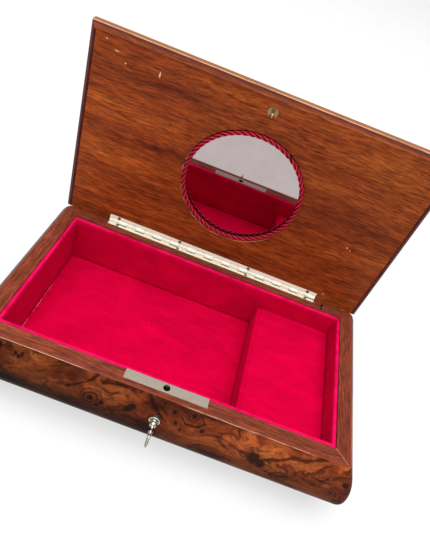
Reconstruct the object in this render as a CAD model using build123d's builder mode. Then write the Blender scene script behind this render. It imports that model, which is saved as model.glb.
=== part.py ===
from build123d import *
import math
import os

os.makedirs("parts", exist_ok=True)

# Musical jewellery box with outward-curving walls, lid standing open at a right angle.
# Millimetres.  +X runs to the right along the hinge, +Y to the back, +Z up.
# The origin is the middle of the front wall's bottom face, on which the box rests.

# ---------------------------------------------------------------- driving dimensions
RIM_LENGTH = 226.0          # outer size of the rim, left to right
RIM_DEPTH = 127.0           # outer size of the rim, front to back
BASE_HEIGHT = 48.0          # resting plane to rim
RIM_WIDTH = 9.2             # flat wooden rim, all round
RIM_FRONT = -6.5
BELLY_OUT = 8.4             # how far the walls swell beyond the rim
BELLY_Z = 24.0
FOOT_IN = 4.0               # how far the bottom edge stands inside the rim
BELLY_RADIUS = 11.5
FOOT_ANGLE = 30.2           # lean of the lower wall from upright, degrees
CORNER_RADIUS = 4.0
VENEER = 0.8

LINING = 2.7                # velvet over card on the walls
LINING_TOP_GAP = 0.3
INNER_DEPTH = 35.3          # rim down to the velvet floor
FLOOR_LINING = 1.5
PANEL = 4.0                 # plywood bottom
PANEL_GROOVE = 3.0

COMPARTMENT_LEFT = 44.4     # left face of the raised compartment
COMPARTMENT_TOP = 32.0
COMPARTMENT_WALL = 2.4
COVER = 2.5

LID_LENGTH = 226.0          # flat underside of the lid
LID_DEPTH = 129.8
LID_THICKNESS = 10.0
LID_FLARE = 2.9             # moulded edge beyond the underside
LIPPING = 1.5               # lipping that lies inside the underside's outline
LID_BEVEL = 4.0             # depth of the bevel, from the underside
LID_SQUARE = 8.4            # depth to which the edge is square
LID_GAP = 0.2               # lid above the rim when it is closed
REAR_LAP = 0.08             # open lid reaches just below the rim behind it

PIN_Y = 121.4               # hinge pin axis
PIN_Z = 49.0
BARREL_RADIUS = 1.7
PIN_RADIUS = 0.7
RUNNING_CLEARANCE = 0.05
KNUCKLES = 24
KNUCKLE_PITCH = 6.8
KNUCKLE_GAP = 0.2
LEAF = 0.7

LOCK_X = 0.3
STUD_Y = 0.4                # where the strike stud enters the lock
KEY_Z = 35.5

# ---------------------------------------------------------------- derived places
HALF_LENGTH = RIM_LENGTH / 2
RIM_BACK = RIM_FRONT + RIM_DEPTH
MIDDLE_Y = (RIM_FRONT + RIM_BACK) / 2
INNER_X = HALF_LENGTH - RIM_WIDTH
INNER_FRONT = RIM_FRONT + RIM_WIDTH
INNER_BACK = RIM_BACK - RIM_WIDTH
LINED_X = INNER_X - LINING
LINED_FRONT = INNER_FRONT + LINING
LINED_BACK = INNER_BACK - LINING
FLOOR_Z = BASE_HEIGHT - INNER_DEPTH
PANEL_TOP = FLOOR_Z - FLOOR_LINING
PANEL_BOTTOM = PANEL_TOP - PANEL
LINING_TOP = BASE_HEIGHT - LINING_TOP_GAP
LID_FACE_Y = PIN_Y - (PIN_Z - BASE_HEIGHT - LID_GAP)
LID_LOW = BASE_HEIGHT - REAR_LAP
LID_HIGH = LID_LOW + LID_DEPTH
HINGE_HALF = KNUCKLES * KNUCKLE_PITCH / 2
NOTCH = BARREL_RADIUS + 0.4  # clear space round the barrel
STUD_Z = PIN_Z + PIN_Y - STUD_Y


def finish(piece, name):
    """Label a finished piece and write it."""
    piece.part.label = name
    export_step(piece.part, f"parts/{name}.step")


def bar(x, y, z, mode=Mode.ADD):
    """Rectangular block between two values on each axis."""
    with Locations(((x[0] + x[1]) / 2, (y[0] + y[1]) / 2, (z[0] + z[1]) / 2)):
        Box(x[1] - x[0], y[1] - y[0], z[1] - z[0], mode=mode)


def rod_y(x, z, radius, y, mode=Mode.ADD):
    """Round rod along Y between two values of y."""
    with Locations((x, (y[0] + y[1]) / 2, z)):
        Cylinder(radius, y[1] - y[0], rotation=(90, 0, 0), mode=mode)


def rod_z(x, y, radius, z, mode=Mode.ADD):
    """Upright round rod between two values of z."""
    with Locations((x, y, (z[0] + z[1]) / 2)):
        Cylinder(radius, z[1] - z[0], mode=mode)


def rod_x(y, z, radius, x, mode=Mode.ADD):
    """Round rod along X between two values of x."""
    with Locations(((x[0] + x[1]) / 2, y, z)):
        Cylinder(radius, x[1] - x[0], rotation=(0, 90, 0), mode=mode)


# ---------------------------------------------------------------- curved carcass
def wall_section(half_width, inset):
    """Cross-section of the whole base: flares from the rim to a belly, then leans in to the foot."""
    belly = half_width + BELLY_OUT - inset
    with BuildSketch(Plane.XY) as section:
        with BuildLine():
            TangentArc((belly, BELLY_Z), (half_width - inset, BASE_HEIGHT), tangent=(0, 1))
            turn = JernArc(start=(belly, BELLY_Z), tangent=(0, -1), radius=BELLY_RADIUS, arc_size=-FOOT_ANGLE)
            Line(turn @ 1, (half_width - FOOT_IN - inset, 0))
            Line((half_width - FOOT_IN - inset, 0), (0, 0))
            Line((half_width - inset, BASE_HEIGHT), (0, BASE_HEIGHT))
            mirror(about=Plane.YZ)
        make_face()
    return section.sketch


def curved_block(inset, corner_radius):
    """The base as one solid block, with softly rounded corners."""
    reach = RIM_LENGTH
    with BuildPart() as block:
        with BuildSketch(Plane(origin=(0, MIDDLE_Y, 0), x_dir=(0, 1, 0), z_dir=(1, 0, 0))):
            add(wall_section(RIM_DEPTH / 2, inset))
        extrude(amount=reach, both=True)
        with BuildSketch(Plane(origin=(0, MIDDLE_Y, 0), x_dir=(1, 0, 0), z_dir=(0, -1, 0))):
            add(wall_section(RIM_LENGTH / 2, inset))
        extrude(amount=reach, both=True, mode=Mode.INTERSECT)
        rising = [e for e in block.edges() if abs((e @ 0).Z - (e @ 1).Z) > 1]
        corners = [e for e in rising if abs((e @ 0.5).X) > INNER_X]
        corners = [e for e in corners if abs((e @ 0.5).Y - MIDDLE_Y) > INNER_BACK - MIDDLE_Y]
        fillet(corners, radius=corner_radius)
    return block.part


def mitre_outline(side):
    """Plan of the quarter that one wall takes, bounded by the 45 degree mitres."""
    far = 30.0
    deep = 60.0
    x_out = HALF_LENGTH + far
    x_in = HALF_LENGTH - deep
    low = (RIM_FRONT - far, RIM_FRONT + deep)
    high = (RIM_BACK + far, RIM_BACK - deep)
    outlines = {
        "front": [(-x_out, low[0]), (x_out, low[0]), (x_in, low[1]), (-x_in, low[1])],
        "back": [(-x_out, high[0]), (x_out, high[0]), (x_in, high[1]), (-x_in, high[1])],
        "right": [(x_out, low[0]), (x_out, high[0]), (x_in, high[1]), (x_in, low[1])],
        "left": [(-x_out, low[0]), (-x_out, high[0]), (-x_in, high[1]), (-x_in, low[1])],
    }
    return outlines[side]


def keep_quarter(side):
    """Cut the part being built down to one wall's quarter."""
    with BuildSketch(Plane.XY) as quarter:
        with BuildLine():
            Polyline(*mitre_outline(side), close=True)
        make_face()
    extrude(quarter.sketch, amount=BASE_HEIGHT, mode=Mode.INTERSECT)


core_block = curved_block(VENEER, CORNER_RADIUS - VENEER)
full_block = curved_block(0.0, CORNER_RADIUS)
cavity_y = (INNER_FRONT, INNER_BACK)
groove_x = INNER_X + PANEL_GROOVE
groove_y = (INNER_FRONT - PANEL_GROOVE, INNER_BACK + PANEL_GROOVE)


def carcass_wall(side):
    """One mitred wall, with the groove that holds the bottom panel."""
    add(core_block)
    bar((-INNER_X, INNER_X), cavity_y, (0, BASE_HEIGHT), Mode.SUBTRACT)
    bar((-groove_x, groove_x), groove_y, (PANEL_BOTTOM, PANEL_TOP), Mode.SUBTRACT)
    keep_quarter(side)


def veneer_skin(side):
    """One wall's burl veneer, ending a little above the resting plane."""
    bottom_reveal = 0.6
    add(full_block)
    add(core_block, mode=Mode.SUBTRACT)
    reach = RIM_LENGTH
    bar((-reach, reach), (-reach, reach), (0, bottom_reveal), Mode.SUBTRACT)
    keep_quarter(side)


def keyhole(y, radius, mode):
    """Round keyhole with a slot below it for the bit."""
    slot_half = 0.8
    slot_low = KEY_Z - 2.9
    rod_y(LOCK_X, KEY_Z, radius, y, mode)
    bar((LOCK_X - slot_half, LOCK_X + slot_half), y, (slot_low, KEY_Z), mode)


# ---------------------------------------------------------------- lock places
PLATE_HALF = 25.2
PLATE_Y = (-2.9, 3.6)
PLATE_THICKNESS = 1.2
PLATE_Z = (BASE_HEIGHT - PLATE_THICKNESS, BASE_HEIGHT)
CASE_HALF = 17.0
CASE_Y = (-4.4, INNER_FRONT)
CASE_Z = (24.0, PLATE_Z[0])
CASE_WALL = 0.5
BUSHING_RADIUS = 3.2
BUSHING_Y = (-14.3, -9.5)
KEYHOLE_RADIUS = 1.55
STUD_HOLE_RADIUS = 2.1

lock_span = (LOCK_X - CASE_HALF, LOCK_X + CASE_HALF)
plate_span = (LOCK_X - PLATE_HALF, LOCK_X + PLATE_HALF)

# ---------------------------------------------------------------- hinge places
hinge_span = (-HINGE_HALF, HINGE_HALF)
notch_span = (-HINGE_HALF - 0.5, HINGE_HALF + 0.5)
behind_pin = (PIN_Y - NOTCH, RIM_BACK + BELLY_OUT)
SCREW_X = (-74.6, -27.1, 27.1, 74.6)
BASE_LEAF_FRONT = 116.9
BASE_SCREW_Y = 118.25
LID_LEAF_TOP = 54.1
LID_SCREW_Z = 52.55
LEAF_SCREW_HEAD = 1.25
LEAF_SCREW_SHANK = 0.6
LEAF_SCREW_LENGTH = 6.0
SCREW_TURNS = (20, -35, 65, -10)   # how each screw's slot happens to stand, in degrees
SLOT_WIDTH = 0.4
SLOT_DEPTH = 0.35

# ---------------------------------------------------------------- stop lever places
LEVER_X = (87.9, 88.8)
LEVER_Y = (113.2, 117.6)
LEVER_TOP = BASE_HEIGHT + 1.5
LEVER_ARM_Z = (28.0, 29.0)
LEVER_TRAVEL = 2.0
LEVER_PLAY = 0.35
lever_slot_x = (LEVER_X[0] - LEVER_PLAY, LEVER_X[1] + LEVER_PLAY)
lever_slot_y = (LEVER_Y[0] - LEVER_PLAY, LEVER_Y[1] + LEVER_PLAY)
lever_slot_z = (LEVER_ARM_Z[0] - LEVER_TRAVEL - LEVER_PLAY, BASE_HEIGHT)
arm_slot_z = (lever_slot_z[0], LEVER_ARM_Z[1] + 0.3)


def leaf_screw(head_radius, shank_radius, head_height, length):
    """Countersunk wood screw about the builder's +Z, its head flush at height 0."""
    with BuildSketch(Plane.XZ) as profile:
        with BuildLine():
            Polyline(
                (0, 0),
                (head_radius, 0),
                (shank_radius, -head_height),
                (shank_radius, -length + shank_radius),
                (0, -length),
                close=True,
            )
        make_face()
    revolve(profile.sketch, axis=Axis.Z)


with BuildPart() as screw_pattern:
    leaf_screw(LEAF_SCREW_HEAD, LEAF_SCREW_SHANK, LEAF, LEAF_SCREW_LENGTH)

with BuildPart() as base_screw_holes:
    with Locations(*[(x, BASE_SCREW_Y, BASE_HEIGHT) for x in SCREW_X]):
        add(screw_pattern.part)

base_slots = [
    Location((x, BASE_SCREW_Y, BASE_HEIGHT), (0, 0, turn)) for x, turn in zip(SCREW_X, SCREW_TURNS)
]
with BuildPart() as base_leaf_screws:
    add(base_screw_holes.part)
    with Locations(*base_slots):
        Box(3 * LEAF_SCREW_HEAD, SLOT_WIDTH, 2 * SLOT_DEPTH, mode=Mode.SUBTRACT)
finish(base_leaf_screws, "base_leaf_screws")

lid_screw_planes = [
    Plane(origin=(x, LID_FACE_Y, LID_SCREW_Z), x_dir=(1, 0, 0), z_dir=(0, -1, 0)) for x in SCREW_X
]
with BuildPart() as lid_screw_holes:
    with Locations(*lid_screw_planes):
        add(screw_pattern.part)

lid_slots = [
    Location((x, LID_FACE_Y, LID_SCREW_Z), (0, turn, 0)) for x, turn in zip(SCREW_X, SCREW_TURNS[::-1])
]
with BuildPart() as lid_leaf_screws:
    add(lid_screw_holes.part)
    with Locations(*lid_slots):
        Box(3 * LEAF_SCREW_HEAD, 2 * SLOT_DEPTH, SLOT_WIDTH, mode=Mode.SUBTRACT)
finish(lid_leaf_screws, "lid_leaf_screws")

# ---------------------------------------------------------------- carcass walls
with BuildPart() as front_wall:
    carcass_wall("front")
    bar(lock_span, CASE_Y, CASE_Z, Mode.SUBTRACT)
    bar(plate_span, (PLATE_Y[0], INNER_FRONT), PLATE_Z, Mode.SUBTRACT)
    keyhole((BUSHING_Y[1], CASE_Y[0]), KEYHOLE_RADIUS, Mode.SUBTRACT)
    rod_y(LOCK_X, KEY_Z, BUSHING_RADIUS, BUSHING_Y, Mode.SUBTRACT)
finish(front_wall, "front_wall")

with BuildPart() as back_wall:
    carcass_wall("back")
    bar(notch_span, behind_pin, (PIN_Z - NOTCH, BASE_HEIGHT), Mode.SUBTRACT)
    bar(hinge_span, (BASE_LEAF_FRONT, PIN_Y), (BASE_HEIGHT - LEAF, BASE_HEIGHT), Mode.SUBTRACT)
    add(base_screw_holes.part, mode=Mode.SUBTRACT)
    bar(lever_slot_x, lever_slot_y, lever_slot_z, Mode.SUBTRACT)
    bar(lever_slot_x, (INNER_BACK, LEVER_Y[0]), arm_slot_z, Mode.SUBTRACT)
finish(back_wall, "back_wall")

with BuildPart() as left_wall:
    carcass_wall("left")
finish(left_wall, "left_wall")

with BuildPart() as right_wall:
    carcass_wall("right")
finish(right_wall, "right_wall")

with BuildPart() as front_veneer:
    veneer_skin("front")
    rod_y(LOCK_X, KEY_Z, BUSHING_RADIUS, (BUSHING_Y[0] - 2, BUSHING_Y[1]), Mode.SUBTRACT)
finish(front_veneer, "front_veneer")

with BuildPart() as back_veneer:
    veneer_skin("back")
    bar(notch_span, behind_pin, (PIN_Z - NOTCH, BASE_HEIGHT), Mode.SUBTRACT)
finish(back_veneer, "back_veneer")

with BuildPart() as left_veneer:
    veneer_skin("left")
finish(left_veneer, "left_veneer")

with BuildPart() as right_veneer:
    veneer_skin("right")
finish(right_veneer, "right_veneer")

# ---------------------------------------------------------------- music movement places
BED_X = (52.0, 97.0)
BED_Y = (44.0, 96.5)
BED_Z = (13.2, 15.2)
BOSS_RADIUS = 3.0
BOSSES = ((56.0, 48.0), (93.0, 48.0), (88.0, 92.5))
MOVEMENT_SCREW_RADIUS = 1.25
BARREL_X = 64.0
BARREL_Y = 58.0
DRUM_RADIUS = 9.0
DRUM_Z = (15.9, 27.0)
DRUM_WALL = 0.7
CROWN_RADIUS = 11.4
CROWN_Z = (17.8, 19.3)
WINDER_RADIUS = 1.5
CYL_X = BARREL_X
CYL_Z = 22.0
CYL_RADIUS = 6.3
CYL_Y = (71.2, 89.2)
ARBOR_RADIUS = 0.8
PINION_Y = (67.3, 69.3)
PINION_RADIUS = 2.5
POST_THICK = 1.0
DRIVE_Y = (91.8, 93.0)
DRIVE_RADIUS = 5.8
WHEEL_X = 71.9
WHEEL_PINION_RADIUS = 1.7
WHEEL_RADIUS = 3.0
WHEEL_Y = (93.4, 94.4)
WORM_RADIUS = 1.0
WORM_X = WHEEL_X + WHEEL_RADIUS + WORM_RADIUS + 0.1
WORM_Y = 93.9
FLY_RADIUS = 4.2
FLY_Z = (25.3, 27.5)
COMB_Z = (21.4, 22.4)
COMB_TIP_X = CYL_X + CYL_RADIUS + 0.6
COMB_BACK_X = 84.0
COMB_TEETH = 18

# ---------------------------------------------------------------- bottom and linings
with BuildPart() as bottom_panel:
    bar((-groove_x, groove_x), groove_y, (PANEL_BOTTOM, PANEL_TOP))
    rod_z(BARREL_X, BARREL_Y, WINDER_RADIUS + 1.0, (PANEL_BOTTOM, PANEL_TOP), Mode.SUBTRACT)
    for boss in BOSSES:
        rod_z(*boss, MOVEMENT_SCREW_RADIUS, (PANEL_BOTTOM, PANEL_TOP), Mode.SUBTRACT)
finish(bottom_panel, "bottom_panel")

with BuildPart() as lining_floor:
    bar((-LINED_X, COMPARTMENT_LEFT), (LINED_FRONT, LINED_BACK), (PANEL_TOP, FLOOR_Z))
finish(lining_floor, "lining_floor")

with BuildPart() as lining_front:
    bar((-INNER_X, INNER_X), (INNER_FRONT, LINED_FRONT), (PANEL_TOP, LINING_TOP))
    bar(plate_span, (INNER_FRONT, PLATE_Y[1]), (PLATE_Z[0], BASE_HEIGHT), Mode.SUBTRACT)
finish(lining_front, "lining_front")

with BuildPart() as lining_back:
    bar((-INNER_X, INNER_X), (LINED_BACK, INNER_BACK), (PANEL_TOP, LINING_TOP))
    bar(lever_slot_x, (LINED_BACK, INNER_BACK), arm_slot_z, Mode.SUBTRACT)
finish(lining_back, "lining_back")

with BuildPart() as lining_left:
    bar((-INNER_X, -LINED_X), (LINED_FRONT, LINED_BACK), (PANEL_TOP, LINING_TOP))
finish(lining_left, "lining_left")

with BuildPart() as lining_right:
    bar((LINED_X, INNER_X), (LINED_FRONT, LINED_BACK), (PANEL_TOP, LINING_TOP))
finish(lining_right, "lining_right")

# ---------------------------------------------------------------- raised compartment
COVER_Z = (COMPARTMENT_TOP - COVER, COMPARTMENT_TOP)
BATTEN = 4.0
BATTEN_Z = (COVER_Z[0] - BATTEN, COVER_Z[0])
compartment_x = (COMPARTMENT_LEFT + COMPARTMENT_WALL, LINED_X)

with BuildPart() as compartment_wall:
    wall_x = (COMPARTMENT_LEFT, COMPARTMENT_LEFT + COMPARTMENT_WALL)
    bar(wall_x, (LINED_FRONT, LINED_BACK), (PANEL_TOP, COVER_Z[0]))
finish(compartment_wall, "compartment_wall")

with BuildPart() as compartment_cover:
    bar((COMPARTMENT_LEFT, LINED_X), (LINED_FRONT, LINED_BACK), COVER_Z)
    top_left = compartment_cover.edges().filter_by(Axis.Y).group_by(Axis.X)[0].sort_by(Axis.Z)[-1]
    fillet(top_left, radius=COVER * 0.7)
finish(compartment_cover, "compartment_cover")

with BuildPart() as cover_battens:
    bar(compartment_x, (LINED_FRONT, LINED_FRONT + BATTEN), BATTEN_Z)
    bar(compartment_x, (LINED_BACK - BATTEN, LINED_BACK), BATTEN_Z)
    bar(lever_slot_x, (LINED_BACK - BATTEN, LINED_BACK), arm_slot_z, Mode.SUBTRACT)
finish(cover_battens, "cover_battens")

# ---------------------------------------------------------------- lock
with BuildPart() as lock_faceplate:
    bar(plate_span, PLATE_Y, PLATE_Z)
    rod_z(LOCK_X, STUD_Y, STUD_HOLE_RADIUS, PLATE_Z, Mode.SUBTRACT)
finish(lock_faceplate, "lock_faceplate")

case_inner_x = (lock_span[0] + CASE_WALL, lock_span[1] - CASE_WALL)
case_inner_y = (CASE_Y[0] + CASE_WALL, CASE_Y[1] - CASE_WALL)
HUB_JOURNAL = 2.4
with BuildPart() as lock_case:
    bar(lock_span, CASE_Y, CASE_Z)
    bar(case_inner_x, case_inner_y, (CASE_Z[0] + CASE_WALL, CASE_Z[1]), Mode.SUBTRACT)
    keyhole((CASE_Y[0], case_inner_y[0]), KEYHOLE_RADIUS, Mode.SUBTRACT)
    journal_y = (case_inner_y[1], CASE_Y[1])
    rod_y(LOCK_X, KEY_Z, HUB_JOURNAL + RUNNING_CLEARANCE, journal_y, Mode.SUBTRACT)
finish(lock_case, "lock_case")

BOLT_Z = (44.4, 45.4)
SPINE_X = (LOCK_X - 12.0, LOCK_X + 8.0)
SPINE_Y = (-3.7, -1.8)
HOOK_X = (LOCK_X - 8.0, LOCK_X - 2.6)
HOOK_BACK_Y = 2.0
HOOK_SLOT_X = (LOCK_X - 7.0, HOOK_X[1])
HOOK_SLOT_Y = (STUD_Y - 1.1, STUD_Y + 1.1)
TALON_LOW = KEY_Z + 4.1
TALONS = ((LOCK_X - 8.0, LOCK_X - 6.3), (LOCK_X + 1.3, LOCK_X + 3.0))
with BuildPart() as lock_bolt:
    bar(SPINE_X, SPINE_Y, BOLT_Z)
    bar(HOOK_X, (SPINE_Y[1], HOOK_BACK_Y), BOLT_Z)
    bar(HOOK_SLOT_X, HOOK_SLOT_Y, BOLT_Z, Mode.SUBTRACT)
    for talon_x in TALONS:
        bar(talon_x, SPINE_Y, (TALON_LOW, BOLT_Z[0]))
finish(lock_bolt, "lock_bolt")

HUB_RADIUS = 3.8
HUB_Y = (-3.6, 1.9)
ARM_REACH = 7.4
ARM_WIDTH = 2.0
ARM_THICKNESS = 1.3
with BuildPart() as lock_hub:
    rod_y(LOCK_X, KEY_Z, HUB_RADIUS, HUB_Y)
    rod_y(LOCK_X, KEY_Z, HUB_JOURNAL, (HUB_Y[1], CASE_Y[1] - 0.05))
    with Locations(Location((LOCK_X, -2.75, KEY_Z), (0, -45, 0))):
        with Locations((0, 0, ARM_REACH / 2)):
            Box(ARM_WIDTH, ARM_THICKNESS, ARM_REACH)
    keyhole((HUB_Y[0], 1.7), KEYHOLE_RADIUS, Mode.SUBTRACT)
finish(lock_hub, "lock_hub")

with BuildPart() as keyhole_bushing:
    rod_y(LOCK_X, KEY_Z, BUSHING_RADIUS, BUSHING_Y)
    keyhole(BUSHING_Y, KEYHOLE_RADIUS, Mode.SUBTRACT)
finish(keyhole_bushing, "keyhole_bushing")

SHANK_RADIUS = KEYHOLE_RADIUS - RUNNING_CLEARANCE
KEY_TIP_Y = 1.5
COLLAR_Y = (-16.8, -14.5)
COLLAR_FRONT_RADIUS = 2.2
COLLAR_WAIST_RADIUS = 1.9
COLLAR_BACK_RADIUS = 2.35
STEM_RADIUS = 1.1
BOW_CENTRE_Y = -26.4
BOW_HALF_LENGTH = 4.3
BOW_HALF_HEIGHT = 5.0
BOW_HOLE_RADIUS = 1.15
BOW_THICKNESS = 1.8
BIT_HALF = 0.7
BIT_REACH = 2.7
BIT_Y = (-3.2, 1.4)
stem_end = BOW_CENTRE_Y + BOW_HALF_LENGTH - 0.7
with BuildPart() as key:
    with BuildSketch(Plane.XY):
        with BuildLine():
            Polyline(
                (0, KEY_TIP_Y),
                (SHANK_RADIUS, KEY_TIP_Y),
                (SHANK_RADIUS, COLLAR_Y[1]),
                (COLLAR_BACK_RADIUS, COLLAR_Y[1]),
                (COLLAR_BACK_RADIUS, COLLAR_Y[1] - 0.8),
                (COLLAR_WAIST_RADIUS, COLLAR_Y[1] - 1.1),
                (COLLAR_FRONT_RADIUS, COLLAR_Y[1] - 1.5),
                (COLLAR_FRONT_RADIUS, COLLAR_Y[0]),
                (SHANK_RADIUS, COLLAR_Y[0] - 0.7),
                (STEM_RADIUS, stem_end),
                (0, stem_end),
                close=True,
            )
        make_face()
    revolve(axis=Axis.Y)
    with BuildSketch(Plane.YZ):
        with Locations((BOW_CENTRE_Y, 0)):
            Ellipse(BOW_HALF_LENGTH, BOW_HALF_HEIGHT)
            with Locations((-0.3, 2.0), (-0.3, -2.0)):
                Circle(BOW_HOLE_RADIUS, mode=Mode.SUBTRACT)
    extrude(amount=BOW_THICKNESS / 2, both=True)
    bar((-BIT_HALF, BIT_HALF), BIT_Y, (-BIT_REACH, 0))
key.part = key.part.moved(Location((LOCK_X, 0, KEY_Z)))
finish(key, "key")

# ---------------------------------------------------------------- hinge
knuckle_starts = [-HINGE_HALF + KNUCKLE_PITCH * i for i in range(KNUCKLES)]
base_knuckles = knuckle_starts[0::2]
lid_knuckles = knuckle_starts[1::2]


def knuckle_row(starts):
    """Barrel segments round the pin axis."""
    for start in starts:
        span = (start + KNUCKLE_GAP / 2, start + KNUCKLE_PITCH - KNUCKLE_GAP / 2)
        rod_x(PIN_Y, PIN_Z, BARREL_RADIUS, span)


with BuildPart() as base_leaf:
    bar(hinge_span, (BASE_LEAF_FRONT, PIN_Y - NOTCH), (BASE_HEIGHT - LEAF, BASE_HEIGHT))
    for start in base_knuckles:
        tab = (start + KNUCKLE_GAP / 2, start + KNUCKLE_PITCH - KNUCKLE_GAP / 2)
        bar(tab, (PIN_Y - NOTCH, PIN_Y), (BASE_HEIGHT - LEAF, BASE_HEIGHT))
    knuckle_row(base_knuckles)
    rod_x(PIN_Y, PIN_Z, PIN_RADIUS + RUNNING_CLEARANCE, hinge_span, Mode.SUBTRACT)
    add(base_screw_holes.part, mode=Mode.SUBTRACT)
finish(base_leaf, "base_leaf")

with BuildPart() as lid_leaf:
    leaf_y = (LID_FACE_Y, LID_FACE_Y + LEAF)
    bar(hinge_span, leaf_y, (PIN_Z + NOTCH, LID_LEAF_TOP))
    for start in lid_knuckles:
        tab = (start + KNUCKLE_GAP / 2, start + KNUCKLE_PITCH - KNUCKLE_GAP / 2)
        bar(tab, leaf_y, (PIN_Z, PIN_Z + NOTCH))
    knuckle_row(lid_knuckles)
    rod_x(PIN_Y, PIN_Z, PIN_RADIUS + RUNNING_CLEARANCE, hinge_span, Mode.SUBTRACT)
    add(lid_screw_holes.part, mode=Mode.SUBTRACT)
finish(lid_leaf, "lid_leaf")

with BuildPart() as hinge_pin:
    rod_x(PIN_Y, PIN_Z, PIN_RADIUS, (-HINGE_HALF - 0.1, HINGE_HALF + 0.1))
finish(hinge_pin, "hinge_pin")

# ---------------------------------------------------------------- lid
LID_TOP_VENEER = 0.8
PANEL_BACK = LID_THICKNESS - LID_TOP_VENEER
lid_plane = Plane(origin=(0, LID_FACE_Y, 0), x_dir=(1, 0, 0), z_dir=(0, -1, 0))
panel_x = (-LID_LENGTH / 2 + LIPPING, LID_LENGTH / 2 - LIPPING)
panel_z = (LID_LOW + LIPPING, LID_HIGH - LIPPING)
barrel_notch_y = (LID_FACE_Y, PIN_Y + NOTCH)
barrel_notch_z = (LID_LOW - LID_FLARE - 1, PIN_Z + NOTCH)
leaf_mortise_z = (PIN_Z + NOTCH, LID_LEAF_TOP)
MIRROR_Z = BASE_HEIGHT + 66.0
MIRROR_POCKET_RADIUS = 40.9
MIRROR_POCKET_DEPTH = 3.3
MIRROR_BACKING = 0.5
MIRROR_GLASS = 1.9
CORD_RADIUS = 2.1
CORD_RING_RADIUS = 38.6
ROSETTE_RADIUS = 3.2
ROSETTE_PROUD = 0.15
ROSETTE_THICKNESS = 0.8
NECK_RADIUS = 0.9
HEAD_RADIUS = 1.5
STUD_ROOT = -6.0
STUD_TIP = 7.0


def lid_section(half_width):
    """Section across the lid: flat underside, bevelled outwards, square edge, softened top arris."""
    flare = half_width + LID_FLARE
    top_round = LID_THICKNESS - LID_SQUARE
    half_root = math.sqrt(0.5)
    round_middle = (flare - top_round * (1 - half_root), LID_SQUARE + top_round * half_root)
    with BuildSketch(Plane.XY) as section:
        with BuildLine():
            Polyline((0, 0), (half_width, 0), (flare, LID_BEVEL), (flare, LID_SQUARE))
            Line((flare - top_round, LID_THICKNESS), (0, LID_THICKNESS))
            ThreePointArc((flare, LID_SQUARE), round_middle, (flare - top_round, LID_THICKNESS))
            mirror(about=Plane.YZ)
        make_face()
    return section.sketch


def lid_block():
    """The lid's outline as one block."""
    middle_z = (LID_LOW + LID_HIGH) / 2
    with BuildPart() as block:
        with BuildSketch(Plane(origin=(0, LID_FACE_Y, middle_z), x_dir=(1, 0, 0), z_dir=(0, 0, 1))):
            add(lid_section(LID_LENGTH / 2))
        extrude(amount=LID_LENGTH, both=True)
        with BuildSketch(Plane(origin=(0, LID_FACE_Y, middle_z), x_dir=(0, 0, -1), z_dir=(1, 0, 0))):
            add(lid_section(LID_DEPTH / 2))
        extrude(amount=LID_LENGTH, both=True, mode=Mode.INTERSECT)
    return block.part


def lid_quarter(side):
    """Elevation of the quarter of the lid that one lipping takes."""
    far = 20.0
    deep = 60.0
    x_out = LID_LENGTH / 2 + far
    x_in = LID_LENGTH / 2 - deep
    low = (LID_LOW - far, LID_LOW + deep)
    high = (LID_HIGH + far, LID_HIGH - deep)
    outlines = {
        "rear": [(-x_out, low[0]), (x_out, low[0]), (x_in, low[1]), (-x_in, low[1])],
        "front": [(-x_out, high[0]), (x_out, high[0]), (x_in, high[1]), (-x_in, high[1])],
        "right": [(x_out, low[0]), (x_out, high[0]), (x_in, high[1]), (x_in, low[1])],
        "left": [(-x_out, low[0]), (-x_out, high[0]), (-x_in, high[1]), (-x_in, low[1])],
    }
    return outlines[side]


lid_outline = lid_block()
for side in ("front", "rear", "left", "right"):
    with BuildPart() as lid_edge:
        add(lid_outline)
        bar(panel_x, (LID_FACE_Y, LID_FACE_Y + LID_THICKNESS), panel_z, Mode.SUBTRACT)
        with BuildSketch(lid_plane):
            with BuildLine():
                Polyline(*lid_quarter(side), close=True)
            make_face()
        extrude(amount=-LID_THICKNESS, mode=Mode.INTERSECT)
        if side == "rear":
            bar(notch_span, barrel_notch_y, barrel_notch_z, Mode.SUBTRACT)
    finish(lid_edge, f"lid_edge_{side}")

mirror_plane = Plane(origin=(0, LID_FACE_Y, MIRROR_Z), x_dir=(1, 0, 0), z_dir=(0, -1, 0))


def lid_disc(plane, radius, near, far, mode=Mode.ADD):
    """Disc parallel to the lid, between two depths behind its underside."""
    with BuildSketch(plane.offset(-near)) as disc:
        Circle(radius)
    extrude(disc.sketch, amount=near - far, mode=mode)


stud_plane = Plane(origin=(LOCK_X, LID_FACE_Y, STUD_Z), x_dir=(1, 0, 0), z_dir=(0, -1, 0))
ROSETTE_BACK = ROSETTE_THICKNESS - ROSETTE_PROUD

with BuildPart() as lid_panel:
    bar(panel_x, (LID_FACE_Y, LID_FACE_Y + PANEL_BACK), panel_z)
    bar(notch_span, barrel_notch_y, barrel_notch_z, Mode.SUBTRACT)
    bar(hinge_span, (LID_FACE_Y, LID_FACE_Y + LEAF), leaf_mortise_z, Mode.SUBTRACT)
    add(lid_screw_holes.part, mode=Mode.SUBTRACT)
    lid_disc(mirror_plane, MIRROR_POCKET_RADIUS, 0, MIRROR_POCKET_DEPTH, Mode.SUBTRACT)
    lid_disc(stud_plane, ROSETTE_RADIUS, 0, ROSETTE_BACK, Mode.SUBTRACT)
    lid_disc(stud_plane, NECK_RADIUS, 0, -STUD_ROOT, Mode.SUBTRACT)
finish(lid_panel, "lid_panel")

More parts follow.
